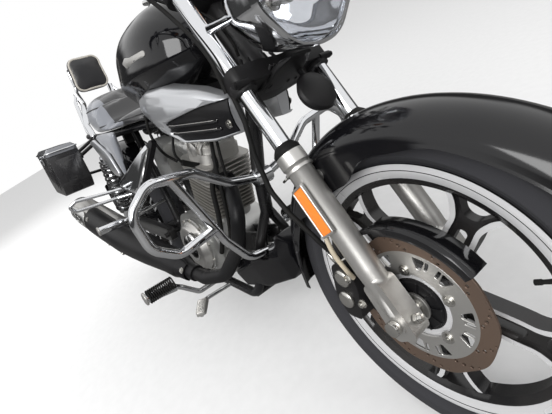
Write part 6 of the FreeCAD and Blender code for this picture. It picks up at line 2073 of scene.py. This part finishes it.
@dataclass
class Panels:
    """Chrome triangular covers, silver panels, dark inner panels and padded seat skirts.

    A skirt's face stands out by its bulge, and keeps behind the chrome cover below the line
    from the cover's front corner to its rear one, both as (x, z).
    """

    face: float = 158.4
    bulge: float = 13.0
    cover_front: tuple[float, float] = (-24.0, 652.0)
    cover_rear: tuple[float, float] = (-272.0, 533.0)
    cover_margin: float = 14.0
    cover_clearance: float = 11.0

    def under_cover(self, x: float, z: float) -> bool:
        """Whether a place lies behind the chrome cover or close above it."""
        (front_x, front_z), (rear_x, rear_z) = self.cover_front, self.cover_rear
        slope = (front_z - rear_z) / (front_x - rear_x)
        return z < front_z + (x - front_x) * slope + self.cover_margin

    def cover_side(self, x: float, z: float) -> float:
        """Distance of the chrome cover's slanting plane from the bike's middle."""
        return 317.2 - 0.1448 * x - 0.32 * z

    def build(self) -> None:
        """Makes the panels' pieces."""
        softened("side_covers", CHROME, angle=35)
        parted("side_panels", [Share("silver_side_panels", SILVER_PAINT, "silver_paint",
                                     low=(-500, 162, 0), angle=38, bevel=2.5),
                               Share("inner_panels", PLASTIC, "black_plastic", angle=38)])
        self.skirts()
        bolts = []
        for sign in (-1, 1):
            bolts.append((flank(Vector((-70, sign * 134, 630)), sign), [(0, 0)], 7.0, 3.4))
        REPEATS.bolts("cover_bolts", bolts, "chassis", "chrome", sides=24)

    def side(self, x: float, z: float, share: float) -> float:
        """Distance of a skirt's outer face from the bike's middle.

        Args:
            x: place along the bike.
            z: its height.
            share: way from the skirt's front edge to its rear edge.

        Returns:
            The distance in millimetres, behind the silver panel and the chrome cover.
        """
        rows = [(500, -262), (556, -272), (640, -312), (694, -432), (712, -462)]
        clear = max(0.0, min(1.0, (x - between(rows, z) - 4) / 46))
        face = self.face + self.bulge * clear * clear * (3 - 2 * clear)
        if z > 690:
            face -= (z - 690) * 0.5
        if self.under_cover(x, z):
            face = min(face, self.cover_side(x, z) - self.cover_clearance)
        ends = min(share, 1 - share)
        return face - 9.0 * max(0.0, 1 - ends / 0.09) ** 2

    def skirts(self) -> None:
        """Padded vinyl skirts that hang from the rider's seat on both sides, coloured pale grey as a
        painted reflection on black vinyl.
        """
        # height, front edge, rear edge
        rows = [(705, -182, -474), (694, -184, -468), (668, -192, -446), (640, -200, -424),
                (612, -209, -402), (584, -220, -384), (558, -232, -366), (538, -246, -350),
                (524, -262, -334), (516, -284, -316)]
        skirts = Shape()
        rings = []
        for z, front, rear in rows:
            outer = []
            for i in range(29):
                share = i / 28
                x = front + (rear - front) * share
                outer.append(Vector((x, -self.side(x, z, share), z)))
            inner = [Vector((p.x, -150.0, p.z)) for p in reversed(outer)]
            rings.append(outer + inner[1:-1])
        skirts.loft(rings)
        skirts.mirror()
        # the skirts' pale colour is a painted reflection
        piece = skirts.finish("seat_skirts", SKIRT_REFLECTION_VINYL, "chassis", "seat_cover", angle=60, levels=1)


@dataclass
class Bags:
    """Side cases with lids, panels, latches and their guard hoops."""

    front: float = -552.0
    rear: float = -858.0
    low: float = 530.0
    rim: float = 684.0

    def build(self) -> None:
        """Makes the cases' pieces."""
        for name, sign in (("right", -1), ("left", 1)):
            softened("bag_" + name, CASE_PLASTIC, angle=40, bevel=7.0)
            softened("lid_" + name, LID_PLASTIC, angle=40, bevel=5.0)
            self.trim(name, sign)
            self.panels(name, sign)
        softened("bag_guards", CHROME, angle=35)

    def trim(self, name: str, sign: int) -> None:
        """Bright edge round the lid, and the latch.

        Args:
            name: side's name.
            sign: -1 for the right side, 1 for the left.
        """
        low, high = sorted((sign * 204, sign * 320))
        rim = rounded([(-862, low), (-548, low), (-548, high), (-862, high)], 26, 6)
        band = Shape()
        band.tube([Vector((a, b, 697)) for a, b in rim + rim[:1]], 2.6, 8)
        band.finish(name + "_lid_edge", CHROME, "lid_" + name, "chrome", angle=60)
        plate = flank(Vector((-705, sign * 318, 686)), sign)
        latch = Shape().prism(rounded([(-20, -30), (20, -30), (24, 8), (-24, 8)], 6), plate, 7)
        latch.prism(rounded([(-12, -24), (12, -24), (12, -4), (-12, -4)], 4), plate, 3, 7)
        latch.finish(name + "_latch", CHROME, "chassis", "chrome", bevel=1.5)

    def panels(self, name: str, sign: int) -> None:
        """Raised contour panels on the outer and front faces.

        Args:
            name: side's name.
            sign: -1 for the right side, 1 for the left.
        """
        middle_x = (self.front + self.rear) / 2
        face = flank(Vector((middle_x, sign * 315.5, 600)), sign)
        outline = rounded([(-118, 50), (118, 50), (96, -34), (70, -50), (-70, -50), (-96, -34)], 18)
        panel = Shape().prism(outline, face, 3.2)
        inner = [(a * 0.82, b * 0.78) for a, b in outline]
        panel.prism(inner, face, 2.2, 3.2)
        front = placed(Vector((-542.2, sign * 262, 616)), SIDE, Vector((-0.123, 0, 1)))
        shape = rounded([(-38, 52), (38, 52), (30, -26), (16, -42), (-16, -42), (-30, -26)], 10)
        panel.prism(shape, front, 4.0, -1.0)
        panel.prism([(a * 0.72, b * 0.74) for a, b in shape], front, 2.4, 3.0)
        panel.finish(name + "_case_panels", CASE_PLASTIC, "chassis", "case_plastic", bevel=1.6)


@dataclass
class Cushion:
    """A padded form that stands for a seat's node: filled out as cloth, then sewn and piped."""

    node: str
    finish: Finish = HIDE
    pull_in: float = 5.0
    reach: float = 9.0
    cell: float = 5.5
    pressure: float = 4.0
    frames: int = 20

    def build(self, held: Callable[[Vector], bool], seams: Sequence["Seam"] = ()) -> bpy.types.Object:
        """Makes the cushion.

        Args:
            held: whether a place, upright and in millimetres, rests on something.
            seams: sewn lines pressed into the cover.

        Returns:
            The cushion, padded.
        """
        piece = softened(self.node, self.finish, angle=60)
        self.shrink(piece)
        self.remesh(piece)
        self.fill(piece, held)
        even = piece.modifiers.new("even", "SMOOTH")
        even.factor = 0.5
        even.iterations = 5
        piece.modifiers.new("round", "SUBSURF").levels = 1
        piece.modifiers["round"].render_levels = 1
        applied(piece)
        for seam in seams:
            seam.press(piece.data)
        smooth(piece.data, 60)
        return piece

    def shrink(self, piece: bpy.types.Object) -> None:
        """Draws the form in a little, to leave room for the filling."""
        inward = piece.modifiers.new("inward", "DISPLACE")
        inward.strength = -self.pull_in * MM
        inward.mid_level = 0.0
        applied(piece)

    def remesh(self, piece: bpy.types.Object) -> None:
        """Gives the form an even mesh."""
        even = piece.modifiers.new("even", "REMESH")
        even.mode = "VOXEL"
        even.voxel_size = self.cell * MM
        applied(piece)

    def fill(self, piece: bpy.types.Object, held: Callable[[Vector], bool]) -> None:
        """Blows the cover up as cloth and keeps each point within reach of its start."""
        rest = [v.co.copy() for v in piece.data.vertices]
        group = piece.vertex_groups.new(name="held")
        group.add([i for i, co in enumerate(rest) if held(UPRIGHT @ co)], 1.0, "REPLACE")
        cloth = piece.modifiers.new("cover", "CLOTH")
        cloth.settings.use_pressure = True
        cloth.settings.uniform_pressure_force = self.pressure
        cloth.settings.vertex_group_mass = "held"
        cloth.settings.effector_weights.gravity = 0.0
        cloth.settings.mass = 0.3
        cloth.point_cache.frame_start = 1
        cloth.point_cache.frame_end = self.frames
        scene = bpy.context.scene
        for number in range(1, self.frames + 1):
            scene.frame_set(number)
        applied(piece)
        scene.frame_set(1)
        piece.vertex_groups.clear()
        limit = self.reach * MM
        for vert, start in zip(piece.data.vertices, rest):
            move = vert.co - start
            if move.length > limit:
                vert.co = start + move.normalized() * limit


@dataclass(frozen=True)
class Seam:
    """A sewn line where a cushion's cover meets a plane, pressed in like a rounded groove.

    The plane and the box that limits it are in millimetres in the upright bike's frame.
    """

    point: tuple[float, float, float]
    normal: tuple[float, float, float]
    low: tuple[float, float, float] = (-2000, -2000, 0)
    high: tuple[float, float, float] = (2000, 2000, 2000)
    depth: float = 3.2
    width: float = 6.0

    def press(self, data: bpy.types.Mesh) -> None:
        """Presses the line into a mesh.

        Args:
            data: the cushion's mesh in the row's frame.
        """
        normal = Vector(self.normal).normalized()
        moves = []
        for vert in data.vertices:
            spot = UPRIGHT @ vert.co
            away = (spot - Vector(self.point)).dot(normal)
            inside = min(min(p - a, b - p) for a, p, b in zip(self.low, spot, self.high))
            if abs(away) < 3 * self.width and inside > 0:
                fade = min(1.0, inside / 12.0)
                sink = self.depth * fade * math.exp(-(away / self.width) ** 2)
                moves.append((vert, vert.normal * (sink * MM)))
        for vert, move in moves:
            vert.co -= move


@dataclass
class Seats:
    """Padded seats and backrest, with seams and piping."""

    base: float = 702.3

    def build(self) -> None:
        """Makes the cushions."""
        rider = Cushion("rider_seat", RIDER_HIDE).build(
            lambda p: p.z < self.base + 9,
            [Seam((0, -104, 0), (0, 1, 0.1), low=(-372, -2000, 722)),
             Seam((0, 104, 0), (0, 1, -0.1), low=(-372, -2000, 722)),
             Seam((-348, 0, 762), (0.8, 0, 0.6), low=(-380, -2000, 722), depth=2.4)])
        passenger = Cushion("passenger_seat", PASSENGER_HIDE).build(
            lambda p: p.z < self.base + 9,
            [Seam((0, -88, 0), (0, 1, 0.1), low=(-640, -2000, 770)),
             Seam((0, 88, 0), (0, 1, -0.1), low=(-640, -2000, 770)),
             Seam((-486, 0, 0), (1, 0, 0), low=(-2000, -88, 800), high=(0, 88, 2000), depth=2.4),
             Seam((-560, 0, 0), (1, 0, 0), low=(-2000, -88, 800), high=(0, 88, 2000), depth=2.4)])
        pad = Cushion("backrest_pad", cell=4.5).build(lambda p: p.x < -788)
        level = (X, SIDE)
        self.piping("rider_seat_piping", rider, PIPING, 2.6, Vector((-270, 0, 726)), level)
        self.piping("passenger_seat_piping", passenger, PIPING, 2.6, Vector((-520, 0, 790)), level)
        self.piping("backrest_piping", pad, PALE_TRIM, 4.2, Vector((-760, 0, 950)), (SIDE, Z))
        softened("backrest_frame", CHROME, angle=35)
        self.stays()

    def girdle(self, tree: BVHTree, centre: Vector, across: Vector, up: Vector,
               count: int = 72) -> list[Vector]:
        """Points where rays from a centre leave a cushion, round one plane.

        Args:
            tree: the cushion's surface.
            centre: where the rays start.
            across: first direction of the plane.
            up: second direction of the plane.
            count: number of rays.

        Returns:
            Points of the loop, upright and in millimetres.
        """
        points = []
        for i in range(count):
            turn = math.tau * i / count
            toward = TURN @ (across * math.cos(turn) + up * math.sin(turn))
            found = tree.ray_cast(PARK @ centre, toward)[0]
            if found:
                points.append(UPRIGHT @ found)
        return points

    def piping(self, name: str, piece: bpy.types.Object, finish: Finish, radius: float,
               centre: Vector, plane: tuple[Vector, Vector]) -> None:
        """A welt sewn round a cushion in one plane.

        Args:
            name: the piping's name.
            piece: the finished cushion.
            finish: the welt's finish.
            radius: radius of the welt.
            centre: a place inside the cushion, in the welt's plane.
            plane: two directions of that plane.
        """
        loop = self.girdle(surface_of(piece.data), centre, *plane)
        welt = Shape().tube(flowing(loop + loop[:1], 2), radius, 8)
        welt.finish(name, finish, "chassis", "seat_cover", angle=60)

    def stays(self) -> None:
        """Wide bright stays on the lower part of the backrest's frame."""
        stays = Shape()
        stays.tube(filleted([(-652, -114.6, 698), (-722, -114.6, 726), (-776, -97, 846),
                             (-798, -74, 886)], 30), 11.5, 20)
        stays.mirror()
        stays.finish("backrest_stays", CHROME, "chassis", "chrome", angle=50)


@dataclass
class Tail:
    """Rear fender, tail lamp, turn lamps and the blank plate."""

    lamp_radius: float = 350.3
    lamp_angle: float = 134.0

    def build(self) -> None:
        """Makes the tail's pieces."""
        softened("rear_fender", BLACK_PAINT, angle=40)
        parted("rear_lamps", [Share("tail_lamp", RED_LENS, "lens_red", high=(2000, 40, 2000), angle=40,
                                    bevel=2.0),
                              Share("turn_lamp_shells", BLACK_PAINT, "gloss_black", angle=40)])
        lenses = Shape()
        foot = polar(REAR_AXLE, 311, 128, -74.3)
        lenses.lathe([(24, 26.4), (26, 27.6), (42, 25.6), (51, 17.5), (56, 9), (57.6, 0)],
                     foot + Vector((26, -104, 6)), (-1, 0, 0), 40)
        lenses.mirror()
        lenses.finish("rear_turn_lenses", AMBER_LENS, "chassis", "lens_amber")
        rim = Shape()
        spot = polar(REAR_AXLE, self.lamp_radius, self.lamp_angle)
        base = placed(spot, SIDE, (spot - REAR_AXLE).cross(SIDE))
        border = rounded([(-55, -33), (55, -33), (49, 33), (-49, 33)], 16)
        rim.take(cut_plate(border, [[(a * 0.93, b * 0.9) for a, b in border]], 6.0, 1.0),
                 base @ Matrix.Translation((0, 0, 4)))
        rim.finish("tail_lamp_rim", CHROME, "chassis", "chrome", angle=40)
        self.plate()

    def plate(self) -> None:
        """Blank pale plate on its holder."""
        place = placed(Vector((-1040.75, 0, 380.8)), -SIDE, Vector((-0.242536, 0, 0.970143)))
        plate = Shape().prism(rounded([(-86, -68), (86, -68), (86, 68), (-86, 68)], 10), place, 1.2, 0.3)
        plate.finish("blank_number_plate", PLATE_BLANK, "chassis", "aluminium", bevel=0.4)


@dataclass
class RunningGear:
    """Frame, swing arm, shocks, chain, stand, guard bars, pegs and belly pan."""

    small: Vector = Vector((-182, 70, 292))
    large: Vector = Vector((-715, 70, 296))
    small_radius: float = 31.0
    large_radius: float = 86.0

    def build(self) -> None:
        """Makes the running gear's pieces."""
        softened("frame", FRAME_PAINT, angle=32)
        softened("swingarm", FRAME_PAINT, bevel=1.5)
        softened("side_stand", FRAME_PAINT, angle=32)
        softened("rear_sprocket", STEEL, angle=30)
        softened("rear_shocks", CHROME, angle=32)
        softened("engine_guard", CHROME, angle=35)
        softened("belly_pan", BLACK_PAINT, angle=38, bevel=1.5)
        softened("foot_controls", CHROME, angle=32)
        self.springs()
        self.chain()
        self.pegs()

    def springs(self) -> None:
        """Coil springs round both shocks."""
        coils = Shape()
        for sign in (-1, 1):
            low, high = Vector((-660, sign * 128, 318)), Vector((-530, sign * 128, 652))
            run = (high - low).normalized()
            REPEATS.coil(coils, aimed(low + run * 72, run), 11.5, 31.5, (high - low).length - 124, 4.2)
        coils.finish("shock_coils", SPRING, "chassis", "chrome", angle=60)

    def chain(self) -> None:
        """Chain of inner and outer links round both sprockets."""
        gap = self.large - self.small
        turn = math.asin((self.large_radius - self.small_radius) / gap.length)
        course = math.atan2(gap.z, gap.x)
        loop = []
        for i in range(60):
            angle = course - math.pi / 2 - turn + (math.pi + 2 * turn) * i / 59
            loop.append(self.large + heading(angle) * self.large_radius)
        for i in range(30):
            angle = course + math.pi / 2 + turn + (math.pi - 2 * turn) * i / 29
            loop.append(self.small + heading(angle) * self.small_radius)
        shape = Shape().take(REPEATS.links(loop, 116), Matrix.Identity(4))
        shape.finish("chain_links", STEEL, "chassis", "steel", replaces=["chain"])

    def pegs(self) -> None:
        """Ribbed rubbers on the rider's pegs, with bright ends."""
        rubbers = Shape()
        for sign in (-1, 1):
            end = Vector((-10, sign * 318, 246))
            REPEATS.ribs(rubbers, aimed(end - SIDE * (sign * 88), SIDE * sign), 13, 6.4, 19.0, 2.6)
        rubbers.finish("peg_rubbers", RUBBER, "chassis", "rubber")
        caps = Shape()
        caps.lathe([(-3, 0), (-3, 20), (2, 20), (4, 17), (4, 0)], (-10, -318, 246), -SIDE, 32)
        caps.lathe([(-3, 0), (-3, 16), (2, 16), (3, 14), (3, 0)], (-300, -308, 416), -SIDE, 32)
        caps.mirror()
        caps.finish("peg_ends", SATIN_ALLOY, "chassis", "aluminium", bevel=0.6)
        self.pedals()

    def pedals(self) -> None:
        """Ribbed tread plates on the brake pedal and the gear lever."""
        run = Vector((66, -38, 8)).normalized()
        across = Vector((0.5, 0.86, 0)).normalized()
        place = placed(Vector((148, -223, 206)), run, across)
        treads = Shape()
        treads.prism(rounded([(-44, -15), (40, -13), (40, 13), (-44, 15)], 7), place, 11, -3)
        for i in range(8):
            a = -36 + i * 10
            treads.prism([(a - 2, -12), (a + 2, -12), (a + 2, 12), (a - 2, 12)], place, 3.5, 8)
        treads.mirror()
        treads.finish("pedal_treads", SATIN_ALLOY, "chassis", "aluminium", bevel=0.8)


# Camera, light and the scene


def camera() -> None:
    """Sets the camera to the reference view's place, direction and lens."""
    right = Vector((0.595819, 0.743858, -0.302779))
    down = Vector((0.089544, -0.436183, -0.895392))
    forward = Vector((-0.798111, 0.50638, -0.326494))
    turn = TURN @ Matrix((right, -down, -forward)).transposed()
    data = bpy.data.cameras.new("camera")
    data.sensor_width = 36.0
    data.lens = 25.10
    data.clip_start = 0.01
    piece = linked("camera", data)
    place = PARK @ Vector((1072.744, -482.955, 730.686))
    piece.matrix_world = Matrix.Translation(place) @ turn.to_4x4()
    bpy.context.scene.camera = piece


def studio() -> None:
    """Pale floor, white backdrop, a soft sky for reflections and soft lights."""
    bpy.context.scene.view_settings.view_transform = "Standard"
    floor = bpy.data.meshes.new("floor")
    floor.from_pydata([(-12, -12, 0), (12, -12, 0), (12, 12, 0), (-12, 12, 0)], [], [(0, 1, 2, 3)])
    ground = linked("floor", floor)
    ground.data.materials.append(floor_material())
    sky()
    lamps = (("key", (2.4, -3.4, 3.4), 3.0, 190.0), ("fill", (3.6, 2.8, 2.0), 2.2, 30.0),
             ("back", (-3.6, -1.2, 2.6), 1.6, 70.0))
    for name, place, size, power in lamps:
        data = bpy.data.lights.new(name, "AREA")
        data.size = size
        data.energy = power
        lamp = linked(name, data)
        lamp.visible_glossy = name == "key"
        lamp.matrix_world = aimed(place, Vector((0, 0, 0.5)) - Vector(place), "-Z")


def sky() -> None:
    """World that looks white, but shows metal a dark horizon under a bright sky."""
    world = bpy.data.worlds.new("studio")
    bpy.context.scene.world = world
    world.use_nodes = True
    nodes = Nodes(world.node_tree)
    surface = world.node_tree.nodes["Background"]
    where = nodes.add("ShaderNodeTexCoord")
    parts = nodes.add("ShaderNodeSeparateXYZ", {0: where.outputs["Generated"]})
    clouds = nodes.add("ShaderNodeTexNoise", {"Vector": where.outputs["Generated"], "Scale": 2.6,
                                              "Detail": 2.0})
    ragged = nodes.calc("MULTIPLY", clouds.outputs["Fac"], 0.36)
    lifted = nodes.calc("SUBTRACT", parts.outputs[2], ragged)
    height = nodes.add("ShaderNodeMapRange", {"Value": lifted, "From Min": -0.02,
                                              "From Max": 0.16, "To Min": 0.05, "To Max": 1.0},
                       interpolation_type="SMOOTHSTEP")
    path = nodes.add("ShaderNodeLightPath")
    plain = nodes.calc("MAXIMUM", path.outputs["Is Camera Ray"], path.outputs["Is Transmission Ray"])
    seen = nodes.add("ShaderNodeMix", {0: plain, 2: height.outputs[0], 3: 1.0})
    tint = nodes.add("ShaderNodeCombineColor", {0: seen.outputs[0], 1: seen.outputs[0],
                                                2: seen.outputs[0]})
    world.node_tree.links.new(tint.outputs[0], surface.inputs["Color"])


def floor_material() -> bpy.types.Material:
    """Plain pale floor with a faint mottle, darker where metal mirrors it."""
    material, nodes, surface = blank_material("studio_floor")
    where = nodes.add("ShaderNodeTexCoord")
    mottle = nodes.add("ShaderNodeTexNoise", {"Vector": where.outputs["Object"], "Scale": 30.0})
    shade = nodes.add("ShaderNodeMix", {0: mottle.outputs["Fac"], 6: (0.66, 0.66, 0.66, 1.0),
                                        7: (0.72, 0.72, 0.72, 1.0)}, data_type="RGBA")
    path = nodes.add("ShaderNodeLightPath")
    share = nodes.calc("MULTIPLY", path.outputs["Is Glossy Ray"], 0.86)
    mirrored = nodes.add("ShaderNodeMix", {0: share, 6: shade.outputs[2],
                                           7: (0.06, 0.058, 0.055, 1.0)}, data_type="RGBA")
    material.node_tree.links.new(mirrored.outputs[2], surface.inputs["Base Color"])
    surface.inputs["Roughness"].default_value = 0.8
    return material


def main() -> None:
    """Builds the motorcycle's pieces, the stage and the lights."""
    logging.basicConfig(level=logging.INFO, format="%(message)s")
    for part in (Wheels(), FrontBrake(), FrontFender(), Fork(), Headlamp(), Cockpit(), Engine(),
                 Exhaust(), Tank(), Shrouds(), Panels(), Seats(), Bags(), Tail(), RunningGear()):
        part.build()
        LOG.info("%s built", type(part).__name__)
    camera()
    studio()


if __name__ == "__main__":
    main()
